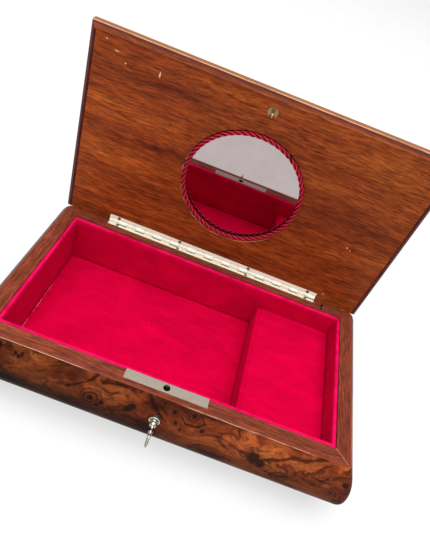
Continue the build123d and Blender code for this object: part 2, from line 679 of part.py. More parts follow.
STRINGING_INSET = 12.0
STRINGING_WIDTH = 1.2
inlay_x = (panel_x[0] + STRINGING_INSET, panel_x[1] - STRINGING_INSET)
inlay_z = (panel_z[0] + STRINGING_INSET, panel_z[1] - STRINGING_INSET)
field_x = (inlay_x[0] + STRINGING_WIDTH, inlay_x[1] - STRINGING_WIDTH)
field_z = (inlay_z[0] + STRINGING_WIDTH, inlay_z[1] - STRINGING_WIDTH)
veneer_y = (LID_FACE_Y + PANEL_BACK, LID_FACE_Y + LID_THICKNESS)

with BuildPart() as lid_veneer_border:
    bar(panel_x, veneer_y, panel_z)
    bar(inlay_x, veneer_y, inlay_z, Mode.SUBTRACT)
finish(lid_veneer_border, "lid_veneer_border")

with BuildPart() as lid_stringing:
    bar(inlay_x, veneer_y, inlay_z)
    bar(field_x, veneer_y, field_z, Mode.SUBTRACT)
finish(lid_stringing, "lid_stringing")

with BuildPart() as lid_veneer_field:
    bar(field_x, veneer_y, field_z)
finish(lid_veneer_field, "lid_veneer_field")

GLASS_NEAR = MIRROR_POCKET_DEPTH - MIRROR_BACKING - MIRROR_GLASS
with BuildPart() as mirror_backing:
    lid_disc(mirror_plane, MIRROR_POCKET_RADIUS - 0.3, GLASS_NEAR + MIRROR_GLASS, MIRROR_POCKET_DEPTH)
finish(mirror_backing, "mirror_backing")

with BuildPart() as mirror_glass:
    lid_disc(mirror_plane, MIRROR_POCKET_RADIUS - 0.3, GLASS_NEAR, GLASS_NEAR + MIRROR_GLASS)
finish(mirror_glass, "mirror_glass")

with BuildPart() as mirror_cord:
    with Locations(mirror_plane.offset(CORD_RADIUS - GLASS_NEAR)):
        Torus(CORD_RING_RADIUS, CORD_RADIUS)
finish(mirror_cord, "mirror_cord")

with BuildPart() as strike_rosette:
    lid_disc(stud_plane, ROSETTE_RADIUS, -ROSETTE_PROUD, ROSETTE_BACK)
    lid_disc(stud_plane, NECK_RADIUS, -ROSETTE_PROUD, ROSETTE_BACK, Mode.SUBTRACT)
finish(strike_rosette, "strike_rosette")

with BuildPart() as strike_stud:
    with BuildSketch(Plane.XZ):
        with BuildLine():
            Polyline(
                (0, STUD_ROOT),
                (NECK_RADIUS, STUD_ROOT),
                (NECK_RADIUS, 4.6),
                (HEAD_RADIUS, 4.9),
                (HEAD_RADIUS, 5.6),
                (0.7, STUD_TIP),
                (0, STUD_TIP),
                close=True,
            )
        make_face()
    revolve(axis=Axis.Z)
strike_stud.part = stud_plane.location * strike_stud.part
finish(strike_stud, "strike_stud")

# ---------------------------------------------------------------- music movement
with BuildPart() as movement_bedplate:
    bar(BED_X, BED_Y, BED_Z)
    for boss in BOSSES:
        rod_z(*boss, BOSS_RADIUS, (PANEL_TOP, BED_Z[0]))
        rod_z(*boss, MOVEMENT_SCREW_RADIUS, (PANEL_TOP, BED_Z[1]), Mode.SUBTRACT)
    rod_z(BARREL_X, BARREL_Y, WINDER_RADIUS + RUNNING_CLEARANCE, BED_Z, Mode.SUBTRACT)
    for post_y in (CYL_Y[0] - 0.4 - POST_THICK, CYL_Y[1] + 0.4):
        span = (post_y, post_y + POST_THICK)
        bar((CYL_X - 2.5, CYL_X + 2.5), span, (BED_Z[1], CYL_Z + 2.5))
        rod_y(CYL_X, CYL_Z, ARBOR_RADIUS + RUNNING_CLEARANCE, span, Mode.SUBTRACT)
finish(movement_bedplate, "movement_bedplate")

with BuildPart() as movement_screws:
    for boss in BOSSES:
        rod_z(*boss, MOVEMENT_SCREW_RADIUS, (PANEL_BOTTOM, BED_Z[1] - 0.3))
        rod_z(*boss, MOVEMENT_SCREW_RADIUS * 2, (PANEL_BOTTOM - 1.5, PANEL_BOTTOM))
        with Locations((*boss, PANEL_BOTTOM - 1.5)):
            Box(6 * MOVEMENT_SCREW_RADIUS, 2 * SLOT_WIDTH, 2 * SLOT_DEPTH, mode=Mode.SUBTRACT)
finish(movement_screws, "movement_screws")


def toothed_disc(plane, radius, thickness, teeth, tooth_height):
    """Gear blank with straight teeth that end at the given radius."""
    root = radius - tooth_height
    with BuildSketch(plane) as outline:
        Circle(root)
        with PolarLocations(root + tooth_height / 2 - 0.1, teeth):
            Rectangle(tooth_height + 0.2, math.pi * radius / teeth * 0.85)
        Circle(radius, mode=Mode.INTERSECT)
    extrude(outline.sketch, amount=thickness)


with BuildPart() as spring_barrel:
    rod_z(BARREL_X, BARREL_Y, DRUM_RADIUS, DRUM_Z)
    crown_plane = Plane.XY.offset(CROWN_Z[0]).move(Location((BARREL_X, BARREL_Y, 0)))
    toothed_disc(crown_plane, CROWN_RADIUS, CROWN_Z[1] - CROWN_Z[0], 48, 0.9)
    hollow = (DRUM_Z[0] + DRUM_WALL, DRUM_Z[1] - DRUM_WALL)
    rod_z(BARREL_X, BARREL_Y, DRUM_RADIUS - DRUM_WALL, hollow, Mode.SUBTRACT)
    rod_z(BARREL_X, BARREL_Y, WINDER_RADIUS + RUNNING_CLEARANCE, DRUM_Z, Mode.SUBTRACT)
finish(spring_barrel, "spring_barrel")

with BuildPart() as mainspring:
    coil_z = (hollow[0] + 0.3, hollow[1] - 0.3)
    for coil in range(6):
        outer = DRUM_RADIUS - DRUM_WALL - 0.1 - coil * 0.8
        rod_z(BARREL_X, BARREL_Y, outer, coil_z)
        rod_z(BARREL_X, BARREL_Y, outer - 0.3, coil_z, Mode.SUBTRACT)
finish(mainspring, "mainspring")

KEY_LOW = 1.0
WING_LENGTH = 21.0
WING_THICKNESS = 2.2
WING_HEIGHT = 3.8
KEY_HUB_RADIUS = 3.2
with BuildPart() as winding_arbor:
    rod_z(BARREL_X, BARREL_Y, WINDER_RADIUS, (KEY_LOW + 1.2, DRUM_Z[1] + 0.6))
finish(winding_arbor, "winding_arbor")

with BuildPart() as winding_key:
    key_plane = Plane(origin=(BARREL_X, BARREL_Y, KEY_LOW), x_dir=(1, 0, 0), z_dir=(0, 0, 1))
    with BuildSketch(key_plane):
        Circle(KEY_HUB_RADIUS)
    extrude(amount=PANEL_BOTTOM - 0.5 - KEY_LOW)
    with BuildSketch(key_plane):
        SlotOverall(WING_LENGTH, WING_THICKNESS)
    extrude(amount=WING_HEIGHT)
    rod_z(BARREL_X, BARREL_Y, WINDER_RADIUS, (KEY_LOW + 1.2, PANEL_BOTTOM), Mode.SUBTRACT)
finish(winding_key, "winding_key")

TUNE_PIN = 0.25
TUNE_ROWS = 9
with BuildPart() as cylinder:
    rod_y(CYL_X, CYL_Z, CYL_RADIUS - 0.3, CYL_Y)
    pitch = (CYL_Y[1] - CYL_Y[0]) / COMB_TEETH
    for row in range(TUNE_ROWS):
        for place in range(5):
            along = CYL_Y[0] + pitch * (2 * row + 0.5 + place % 2)
            turn = 360 * ((place * 7 + row * 11) % 34) / 34
            with Locations(Location((CYL_X, along, CYL_Z), (0, turn, 0))):
                with Locations((0, 0, CYL_RADIUS - 0.5)):
                    Cylinder(TUNE_PIN, 1.0)
    rod_y(CYL_X, CYL_Z, ARBOR_RADIUS, CYL_Y, Mode.SUBTRACT)
finish(cylinder, "cylinder")

with BuildPart() as cylinder_arbor:
    rod_y(CYL_X, CYL_Z, ARBOR_RADIUS, (PINION_Y[0] - 0.1, DRIVE_Y[1]))
finish(cylinder_arbor, "cylinder_arbor")

with BuildPart() as cylinder_pinion:
    pinion_plane = Plane(origin=(CYL_X, PINION_Y[0], CYL_Z), x_dir=(1, 0, 0), z_dir=(0, 1, 0))
    toothed_disc(pinion_plane, PINION_RADIUS, PINION_Y[1] - PINION_Y[0], 12, 0.8)
    rod_y(CYL_X, CYL_Z, ARBOR_RADIUS, PINION_Y, Mode.SUBTRACT)
finish(cylinder_pinion, "cylinder_pinion")

with BuildPart() as drive_gear:
    drive_plane = Plane(origin=(CYL_X, DRIVE_Y[0], CYL_Z), x_dir=(1, 0, 0), z_dir=(0, 1, 0))
    toothed_disc(drive_plane, DRIVE_RADIUS, DRIVE_Y[1] - DRIVE_Y[0], 42, 0.7)
    rod_y(CYL_X, CYL_Z, ARBOR_RADIUS, DRIVE_Y, Mode.SUBTRACT)
finish(drive_gear, "drive_gear")

FRAME_Y = (95.4, 96.3)
FRAME_LEFT = 67.2
FLY_CLEARANCE = 0.4
WHEEL_ARBOR = 0.5
WHEEL_TEETH = 40            # driven against a four-start worm, ten to one
with BuildPart() as governor_wheel:
    small_plane = Plane(origin=(WHEEL_X, DRIVE_Y[0], CYL_Z), x_dir=(1, 0, 0), z_dir=(0, 1, 0))
    toothed_disc(small_plane, WHEEL_PINION_RADIUS, WHEEL_Y[0] - DRIVE_Y[0], 12, 0.5)
    big_plane = Plane(origin=(WHEEL_X, WHEEL_Y[0], CYL_Z), x_dir=(1, 0, 0), z_dir=(0, 1, 0))
    toothed_disc(big_plane, WHEEL_RADIUS, WHEEL_Y[1] - WHEEL_Y[0], WHEEL_TEETH, 0.5)
    rod_y(WHEEL_X, CYL_Z, WHEEL_ARBOR, (DRIVE_Y[0], FRAME_Y[1]))
finish(governor_wheel, "governor_wheel")

WORM_PIVOT = 0.4
BRIDGE_Z = (28.0, 28.8)
with BuildPart() as governor_fly:
    rod_z(WORM_X, WORM_Y, WORM_RADIUS, (17.0, FLY_Z[0]))
    rod_z(WORM_X, WORM_Y, WORM_PIVOT, (BED_Z[1] + 0.1, BRIDGE_Z[1]))
    blade_half = 0.25
    bar((WORM_X - FLY_RADIUS, WORM_X + FLY_RADIUS), (WORM_Y - blade_half, WORM_Y + blade_half), FLY_Z)
    rod_z(WORM_X, WORM_Y, WORM_RADIUS, FLY_Z)
finish(governor_fly, "governor_fly")

BRIDGE_HALF = 1.6
COLUMN_RIGHT = WORM_X - FLY_RADIUS - FLY_CLEARANCE
with BuildPart() as governor_frame:
    bar((FRAME_LEFT, WORM_X + BRIDGE_HALF), FRAME_Y, (BED_Z[1], FLY_Z[0] - FLY_CLEARANCE))
    bar((FRAME_LEFT, COLUMN_RIGHT), FRAME_Y, (BED_Z[1], BRIDGE_Z[1]))
    bar((FRAME_LEFT, COLUMN_RIGHT), (WORM_Y - BRIDGE_HALF, FRAME_Y[0]), BRIDGE_Z)
    bar((COLUMN_RIGHT, WORM_X + BRIDGE_HALF), (WORM_Y - BRIDGE_HALF, WORM_Y + BRIDGE_HALF), BRIDGE_Z)
    rod_y(WHEEL_X, CYL_Z, WHEEL_ARBOR + RUNNING_CLEARANCE, FRAME_Y, Mode.SUBTRACT)
    rod_z(WORM_X, WORM_Y, WORM_PIVOT + RUNNING_CLEARANCE, BRIDGE_Z, Mode.SUBTRACT)
finish(governor_frame, "governor_frame")

COMB_BASE_X = (77.5, COMB_BACK_X)
COMB_SCREW_Y = (74.0, 80.2, 86.4)
COMB_SCREW_X = 80.9
COMB_SCREW_RADIUS = 0.9
COMB_SCREW_HEAD = 1.6
comb_screw_z = (BED_Z[1] + 1.0, COMB_Z[0])
with BuildPart() as comb_base:
    bar(COMB_BASE_X, CYL_Y, (BED_Z[1], COMB_Z[0]))
    for screw_y in COMB_SCREW_Y:
        rod_z(COMB_SCREW_X, screw_y, COMB_SCREW_RADIUS, comb_screw_z, Mode.SUBTRACT)
finish(comb_base, "comb_base")

with BuildPart() as comb:
    bar((COMB_TIP_X, COMB_BACK_X), CYL_Y, COMB_Z)
    for gap in range(1, COMB_TEETH):
        y = CYL_Y[0] + pitch * gap
        bar((COMB_TIP_X, COMB_BASE_X[0] - 1), (y - 0.12, y + 0.12), COMB_Z, Mode.SUBTRACT)
    for screw_y in COMB_SCREW_Y:
        rod_z(COMB_SCREW_X, screw_y, COMB_SCREW_RADIUS, COMB_Z, Mode.SUBTRACT)
finish(comb, "comb")

with BuildPart() as comb_screws:
    for screw_y in COMB_SCREW_Y:
        rod_z(COMB_SCREW_X, screw_y, COMB_SCREW_RADIUS, (comb_screw_z[0], COMB_Z[1]))
        rod_z(COMB_SCREW_X, screw_y, COMB_SCREW_HEAD, (COMB_Z[1], COMB_Z[1] + 1.0))
finish(comb_screws, "comb_screws")

BRAKE_X = WORM_X + FLY_RADIUS + 0.3
ARM_END_Y = WORM_Y - 0.5
with BuildPart() as stop_lever:
    bar(LEVER_X, LEVER_Y, (LEVER_ARM_Z[0], LEVER_TOP))
    bar(LEVER_X, (ARM_END_Y, LEVER_Y[1]), LEVER_ARM_Z)
    bar((BRAKE_X, LEVER_X[1]), (ARM_END_Y, ARM_END_Y + 1.0), LEVER_ARM_Z)
    crown = stop_lever.edges().filter_by(Axis.X).group_by(Axis.Z)[-1]
    fillet(crown, radius=1.2)
finish(stop_lever, "stop_lever")
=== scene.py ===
"""Looks of the musical jewelry box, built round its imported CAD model.

Metres, in the part's own frame: +X runs along the hinge, +Y to the back, +Z up.
Sizes that people think of in millimetres are written as such and multiplied by MM.
"""
import math

import bmesh
import bpy
from mathutils import Matrix, Vector, noise


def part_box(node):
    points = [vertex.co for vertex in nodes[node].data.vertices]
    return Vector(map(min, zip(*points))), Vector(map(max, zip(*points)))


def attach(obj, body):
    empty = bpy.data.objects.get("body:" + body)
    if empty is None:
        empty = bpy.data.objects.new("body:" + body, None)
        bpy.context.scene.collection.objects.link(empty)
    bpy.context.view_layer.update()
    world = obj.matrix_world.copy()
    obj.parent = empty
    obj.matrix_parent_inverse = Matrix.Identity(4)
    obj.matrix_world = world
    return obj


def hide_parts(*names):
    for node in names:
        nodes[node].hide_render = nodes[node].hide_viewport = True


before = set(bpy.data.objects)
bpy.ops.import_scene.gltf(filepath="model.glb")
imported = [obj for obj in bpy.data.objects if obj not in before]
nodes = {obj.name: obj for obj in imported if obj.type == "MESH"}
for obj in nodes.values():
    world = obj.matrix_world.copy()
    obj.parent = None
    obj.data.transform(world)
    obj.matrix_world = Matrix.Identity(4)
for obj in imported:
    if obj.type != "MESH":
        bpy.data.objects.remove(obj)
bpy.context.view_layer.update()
scene = bpy.context.scene
MM = 0.001


def even(value):
    """The same number three times: the sizes of a cube, a shift or a grey."""
    return (value,) * 3


# ------------------------------------------------------------------ camera
AIM = Vector((4.0, 112.5, 48.0)) * MM
DISTANCE = 370.8 * MM
AZIMUTH = math.radians(-2.43)
ELEVATION = math.radians(40.44)
ROLL = math.radians(22.75)
LENS = 33.9             # focal length, mm
SENSOR = 36.0           # mm
NEAR_CLIP = 10 * MM


def place_camera():
    """Puts the camera at the photograph's viewing angle."""
    back = Vector((
        math.sin(AZIMUTH) * math.cos(ELEVATION),
        -math.cos(AZIMUTH) * math.cos(ELEVATION),
        math.sin(ELEVATION),
    ))
    level = Vector((math.cos(AZIMUTH), math.sin(AZIMUTH), 0))
    upright = back.cross(level)
    right = math.cos(ROLL) * level + math.sin(ROLL) * upright
    up = -math.sin(ROLL) * level + math.cos(ROLL) * upright
    turn = Matrix((right, up, back)).transposed().to_4x4()
    lens = bpy.data.cameras.new("camera")
    lens.lens = LENS
    lens.sensor_width = SENSOR
    lens.clip_start = NEAR_CLIP
    camera = bpy.data.objects.new("camera", lens)
    camera.matrix_world = Matrix.Translation(AIM + DISTANCE * back) @ turn
    scene.collection.objects.link(camera)
    scene.camera = camera


# ------------------------------------------------------------------ studio
# Lamps: name, place and side in metres, power in watts.
SOFTBOXES = (("overhead", (0.08, 0.05, 2.0), 2.6, 64.0), ("front", (-0.25, -1.6, 1.2), 1.6, 9.0))
FILL_COLOUR = (1.0, 0.99, 0.98, 1.0)
FILL_STRENGTH = 0.50
FLOOR_HALF = 3.0        # metres
FLOOR_GLOW = 0.60       # light that the floor gives off, which keeps the box's shadow pale


def softbox(name, place, size, power):
    """Square area light that looks at the middle of the box."""
    light = bpy.data.lights.new(name, "AREA")
    light.shape = "SQUARE"
    light.size = size
    light.energy = power
    lamp = bpy.data.objects.new(name, light)
    lamp.location = place
    lamp.rotation_euler = (AIM - Vector(place)).to_track_quat("-Z", "Y").to_euler()
    scene.collection.objects.link(lamp)


def build_studio():
    """White floor that glows a little, soft light from above and in front, and a weak even fill."""
    scene.view_settings.view_transform = "Standard"
    world = bpy.data.worlds.new("studio")
    world.use_nodes = True
    fill = world.node_tree.nodes["Background"]
    fill.inputs["Color"].default_value = FILL_COLOUR
    fill.inputs["Strength"].default_value = FILL_STRENGTH
    scene.world = world
    for lamp in SOFTBOXES:
        softbox(*lamp)
    mesh = bpy.data.meshes.new("studio_floor")
    corners = [(FLOOR_HALF * x, FLOOR_HALF * y, 0) for x, y in ((-1, -1), (1, -1), (1, 1), (-1, 1))]
    mesh.from_pydata(corners, [], [(0, 1, 2, 3)])
    floor = bpy.data.objects.new("studio_floor", mesh)
    scene.collection.objects.link(floor)
    paper = Shader(
        "floor_paper", Roughness=0.9, Specular_IOR_Level=0.1, Emission_Color=(1.0, 1.0, 1.0, 1.0),
        Emission_Strength=FLOOR_GLOW,
    )
    tone = paper.noise(paper.scaled(even(40)))
    paper.colour(paper.ramp(tone, (0.3, even(0.29)), (0.7, even(0.31))))
    mesh.materials.append(paper.material)


# ------------------------------------------------------------------ shader building
class Shader:
    """A procedural material under construction: pattern nodes that end in one Principled shader."""

    def __init__(self, name, **settings):
        self.material = bpy.data.materials.new(name)
        self.material.use_nodes = True
        self.nodes = self.material.node_tree.nodes
        self.links = self.material.node_tree.links
        self.surface = self.nodes["Principled BSDF"]
        for socket, value in settings.items():
            self.surface.inputs[socket.replace("_", " ")].default_value = value
        self.place = self.nodes.new("ShaderNodeTexCoord").outputs["Object"]

    def feed(self, socket, value):
        """Gives a socket a number, a colour, a vector or another node's output."""
        if isinstance(value, bpy.types.NodeSocket):
            self.links.new(value, socket)
        elif value is not None:
            size = len(socket.default_value) if hasattr(socket.default_value, "__len__") else 0
            value = (*value, 1.0) if size == 4 and len(value) == 3 else value
            socket.default_value = value

    # Numbers.
    def math(self, operation, a, b=None, clamp=False):
        node = self.nodes.new("ShaderNodeMath")
        node.operation = operation
        node.use_clamp = clamp
        self.feed(node.inputs[0], a)
        self.feed(node.inputs[1], b)
        return node.outputs[0]

    def chain(self, operation, values):
        """One operation taken over several numbers, first to last."""
        total, *rest = values
        for value in rest:
            total = self.math(operation, total, value)
        return total

    def times(self, *values):
        return self.chain("MULTIPLY", values)

    def plus(self, *values):
        return self.chain("ADD", values)

    def minus(self, a, b):
        return self.math("SUBTRACT", a, b)

    def least(self, *values):
        return self.chain("MINIMUM", values)

    def most(self, *values):
        return self.chain("MAXIMUM", values)

    def off(self, value, at):
        """How far a number is from another, either way."""
        return self.math("ABSOLUTE", self.minus(value, at))

    def squares(self, a, b):
        """Sum of two squares."""
        return self.plus(self.math("POWER", a, 2.0), self.math("POWER", b, 2.0))

    def between(self, value, low, high, to_low=0.0, to_high=1.0):
        """Smooth step from to_low to to_high as the value goes from low to high."""
        node = self.nodes.new("ShaderNodeMapRange")
        node.interpolation_type = "SMOOTHSTEP"
        for socket, number in zip(node.inputs, (value, low, high, to_low, to_high)):
            self.feed(socket, number)
        return node.outputs[0]

    # Coordinates.
    def vector(self, operation, a, b=None):
        node = self.nodes.new("ShaderNodeVectorMath")
        node.operation = operation
        self.feed(node.inputs[0], a)
        self.feed(node.inputs["Scale" if operation == "SCALE" else 1], b)
        return node.outputs["Value" if operation in ("DISTANCE", "DOT_PRODUCT") else "Vector"]

    def scaled(self, sizes, shift=(0, 0, 0), place=None):
        """Coordinates in which a feature of these sizes, in millimetres, is one unit."""
        node = self.nodes.new("ShaderNodeMapping")
        self.feed(node.inputs["Vector"], place or self.place)
        self.feed(node.inputs["Scale"], [1 / (size * MM) for size in sizes])
        self.feed(node.inputs["Location"], shift)
        return node.outputs[0]

    def warped(self, size, amount, place=None, seed=0.0):
        """Coordinates pushed about by a noise of this size, by up to this amount, both in millimetres."""
        place = place or self.place
        push = self.noise(self.scaled(even(size), even(seed), place), colour=True)
        push = self.vector("SUBTRACT", push, even(0.5))
        return self.vector("ADD", place, self.vector("SCALE", push, 2 * amount * MM))

    def parts(self, place=None):
        """The three coordinates as numbers."""
        node = self.nodes.new("ShaderNodeSeparateXYZ")
        self.feed(node.inputs[0], place or self.place)
        return node.outputs

    # Patterns and colours.
    def noise(self, place, detail=2.0, roughness=0.5, distortion=0.0, colour=False):
        node = self.nodes.new("ShaderNodeTexNoise")
        sockets = ("Vector", "Scale", "Detail", "Roughness", "Distortion")
        for socket, value in zip(sockets, (place, 1.0, detail, roughness, distortion)):
            self.feed(node.inputs[socket], value)
        return node.outputs["Color" if colour else "Fac"]

    def cells(self, place, output="Distance"):
        """Distance from the nearest of many scattered points, or that point's own random colour."""
        node = self.nodes.new("ShaderNodeTexVoronoi")
        self.feed(node.inputs["Vector"], place)
        self.feed(node.inputs["Scale"], 1.0)
        return node.outputs[output]

    def ramp(self, value, *stops):
        node = self.nodes.new("ShaderNodeValToRGB")
        self.feed(node.inputs[0], value)
        points = node.color_ramp.elements
        while len(points) < len(stops):
            points.new(0.5)
        for point, (at, colour) in zip(points, stops):
            point.position = at
            point.color = (*colour, 1.0)
        return node.outputs[0]

    def mix(self, share, a, b, mode="MIX"):
        node = self.nodes.new("ShaderNodeMix")
        node.data_type = "RGBA"
        node.blend_type = mode
        self.feed(node.inputs[0], share)
        self.feed(node.inputs[6], a)
        self.feed(node.inputs[7], b)
        return node.outputs[2]

    def tinted(self, base, share, pattern, dim_at, dim, bright_at, bright):
        """A colour times a grey that goes from dim to bright with a pattern."""
        grey = self.ramp(pattern, (dim_at, even(dim)), (bright_at, even(bright)))
        return self.mix(share, base, grey, "MULTIPLY")

    # Finish.
    def colour(self, value):
        self.feed(self.surface.inputs["Base Color"], value)

    def rough(self, value):
        self.feed(self.surface.inputs["Roughness"], value)

    def bump(self, height, depth):
        """Relief from a height of 0 to 1 that stands for this many millimetres."""
        node = self.nodes.new("ShaderNodeBump")
        self.feed(node.inputs["Height"], height)
        self.feed(node.inputs["Distance"], depth * MM)
        if self.surface.inputs["Normal"].is_linked:
            self.feed(node.inputs["Normal"], self.surface.inputs["Normal"].links[0].from_socket)
        self.feed(self.surface.inputs["Normal"], node.outputs[0])


def along(axis, length, width):
    """Sizes of a feature that is drawn out along one axis."""
    return [length if letter == axis else width for letter in "XYZ"]


# ------------------------------------------------------------------ mahogany
# Dark, middle and light tones of each wood.
LID_WOOD = ((0.114, 0.019, 0.006), (0.257, 0.048, 0.009), (0.404, 0.098, 0.014))
RIM_WOOD = ((0.125, 0.023, 0.011), (0.193, 0.038, 0.017), (0.285, 0.066, 0.031))
# The lid's side edges: mahogany painted dark as shade, where the edges turn away from the light.
LID_SIDE_SHADE_WOOD = ((0.050, 0.007, 0.005), (0.085, 0.012, 0.009), (0.120, 0.019, 0.013))
# The lid's square front face, paler as painted light, its bevel darkened as painted shade and its arris a
# painted highlight.
FACE_PAINTED_LIGHT_WOOD = ((0.170, 0.056, 0.018), (0.350, 0.140, 0.055))
BEVEL_PAINTED_SHADE = (0.040, 0.007, 0.004)
ARRIS_PAINTED_HIGHLIGHT = (0.62, 0.33, 0.19)
BEVEL_Y = (120.8, 124.2)
FACE_Y = (124.2, 124.5)
ARRIS_Y = 124.55
# Worn line of glue round the mirror's cord: x and z from the cord's middle, and radius.
GLUE_LINE = (0.3, -1.2, 41.5)
GLUE_TONE = (0.70, 0.44, 0.28)
# Small pale nicks in the lid's underside: x, z, half length and half width.
LID_NICKS = (
    (-104.5, 174.2, 0.5, 0.35), (-91.2, 164.3, 0.5, 0.5), (-69.8, 165.6, 0.45, 1.7),
    (-97.5, 169.5, 1.4, 0.25), (85.5, 55.9, 0.7, 0.4), (82.1, 101.0, 0.6, 0.4),
    (84.9, 99.6, 0.35, 0.35), (-113.0, 122.0, 0.3, 1.8),
)
NICK_TONE = (0.80, 0.55, 0.36)
# The rim's front corners are mitred where the size of x plus y is this.
MITRE_SUM = 106.5
MITRE_TONE = (0.50, 0.27, 0.16)


def mahogany(name, axis, woods, shift=0.0, gloss=0.40, figure=1.0, finish=None):
    """Satin mahogany: broad ribbons, dark broken lines of pores and fine fibre along one axis."""
    wood = Shader(name, Specular_IOR_Level=0.06, Coat_Weight=0.03, Coat_Roughness=0.25)
    bent = wood.warped(70, 4.0, seed=shift)

    def grain(length, width, seed, *character):
        """Noise drawn out along the grain."""
        place = wood.scaled(along(axis, length, width), even(shift + seed), bent)
        return wood.noise(place, *character)

    patches = grain(120, 26, 2, 3, 0.5, 0.2)
    streaks = grain(90, 6.5, 0, 5, 0.62, 0.3)
    lines = grain(11, 1.0, 4, 3, 0.65)
    fibre = grain(16, 0.42, 0, 3, 0.6)
    pores = grain(6.5, 0.62, 9, 2, 0.6)
    ribbons = wood.plus(wood.times(patches, 0.45 * figure), wood.times(streaks, 0.55 * figure))
    tone = wood.plus(ribbons, 0.5 - 0.5 * figure)
    base = wood.ramp(tone, (0.36, woods[0]), (0.5, woods[1]), (0.63, woods[2]))
    base = wood.tinted(base, 0.85, lines, 0.33, 0.40, 0.67, 1.50)
    base = wood.tinted(base, 0.50, fibre, 0.33, 0.45, 0.67, 1.35)
    pore = wood.times(wood.between(pores, 0.55, 0.63), 0.42)
    base = wood.mix(pore, base, [0.35 * c for c in woods[0]])
    if finish:
        base = finish(wood, base)
    wood.colour(base)
    wood.rough(wood.between(streaks, 0.3, 0.7, gloss + 0.08, gloss - 0.04))
    wood.bump(fibre, 0.03)
    wood.bump(wood.between(pores, 0.56, 0.70, 1.0, 0.0), 0.06)
    return wood


def nicked(wood, base):
    """Lid underside: paler to the left, pale nicks, and a worn line of glue round the mirror's cord."""
    x, _, z = wood.parts(wood.warped(2.5, 0.35))
    base = wood.tinted(base, 1.0, wood.between(x, -100 * MM, 100 * MM), 0.0, 1.14, 1.0, 0.90)
    low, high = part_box("mirror_cord")
    middle = (low + high) / 2
    across = wood.minus(x, middle.x + GLUE_LINE[0] * MM)
    upward = wood.minus(z, middle.z + GLUE_LINE[1] * MM)
    out = wood.math("SQRT", wood.squares(across, upward))
    line = wood.between(wood.off(out, GLUE_LINE[2] * MM), 0.12 * MM, 0.38 * MM, 0.75, 0.0)
    side = wood.between(wood.plus(upward, wood.times(across, 0.6)), -24 * MM, -4 * MM, 1.0, 0.0)
    patchy = wood.between(wood.noise(wood.scaled(even(7))), 0.38, 0.52)
    base = wood.mix(wood.times(line, side, patchy), base, GLUE_TONE)
    marks = []
    for middle_x, middle_z, half_x, half_z in LID_NICKS:
        across = wood.math("DIVIDE", wood.minus(x, middle_x * MM), half_x * MM)
        upward = wood.math("DIVIDE", wood.minus(z, middle_z * MM), half_z * MM)
        marks.append(wood.squares(across, upward))
    return wood.mix(wood.between(wood.least(*marks), 0.5, 1.5, 0.9, 0.0), base, NICK_TONE)


def lidded(wood, base):
    """Front edge of the lid: painted shade on the bevel, a broken painted highlight along the arris and a
    square face made paler as painted light.
    """
    y = wood.parts(wood.warped(9, 0.12))[1]
    bevel_shade = wood.between(y, BEVEL_Y[0] * MM, BEVEL_Y[1] * MM, 0.20, 0.85)
    base = wood.mix(bevel_shade, base, BEVEL_PAINTED_SHADE)
    grain = wood.noise(wood.scaled((26, 0.5, 0.5)), 4, 0.6)
    lit_face = wood.ramp(grain, (0.3, FACE_PAINTED_LIGHT_WOOD[0]), (0.7, FACE_PAINTED_LIGHT_WOOD[1]))
    base = wood.mix(wood.between(y, FACE_Y[0] * MM, FACE_Y[1] * MM), base, lit_face)
    arris_highlight = wood.between(wood.off(y, ARRIS_Y * MM), 0.20 * MM, 0.60 * MM, 0.9, 0.0)
    # Noise that breaks up the arris's painted highlight.
    worn = wood.between(wood.noise(wood.scaled((14, 3, 3)), 3), 0.30, 0.52, 0.35, 1.0)
    return wood.mix(wood.times(arris_highlight, worn), base, ARRIS_PAINTED_HIGHLIGHT)


def rimmed(wood, base):
    """Rim of the base: thin pale lines where its front corners are mitred."""
    x, y, z = wood.parts(wood.warped(6, 0.10))
    high = wood.between(z, 47.2 * MM, 47.8 * MM)
    corner = wood.off(wood.plus(wood.math("ABSOLUTE", x), y), MITRE_SUM * MM)
    mitre = wood.between(corner, 0.10 * MM, 0.35 * MM, 0.7, 0.0)
    return wood.mix(wood.times(mitre, high), base, MITRE_TONE)


# ------------------------------------------------------------------ burl walnut
BURL_TONES = (
    (0.35, (0.045, 0.009, 0.004)), (0.43, (0.115, 0.021, 0.007)), (0.52, (0.225, 0.045, 0.012)),
    (0.62, (0.340, 0.080, 0.019)), (0.74, (0.450, 0.130, 0.034)),
)
BURL_HALO = (0.100, 0.022, 0.009)
BURL_SMOKE = (0.040, 0.009, 0.005)
BURL_BLACK = (0.018, 0.005, 0.003)
# Figure of the front veneer, in millimetres: x, z and radius.
FRONT_EYES = ((-38, 34, 4.6), (20, 45.5, 3.3), (109, 30.5, 3.0))
FRONT_KNOTS = (
    (-16.5, 35.2, 1.9), (-15.2, 36.4, 2.0), (-14, 37.6, 1.8), (2, 46, 1.1), (9, 43.5, 1.4),
    (12, 38.5, 1.1), (15.5, 35.3, 1.0), (27.5, 38.5, 1.3), (60, 34.5, 3.6), (64.5, 33, 3.2),
    (115, 38, 1.8), (-95.5, 43.4, 2.2), (-84.5, 43.3, 0.9), (-82.6, 42.6, 1.0), (-80.8, 44.2, 0.8),
    (-31.5, 32.5, 1.3), (-33, 30.2, 1.0),
)
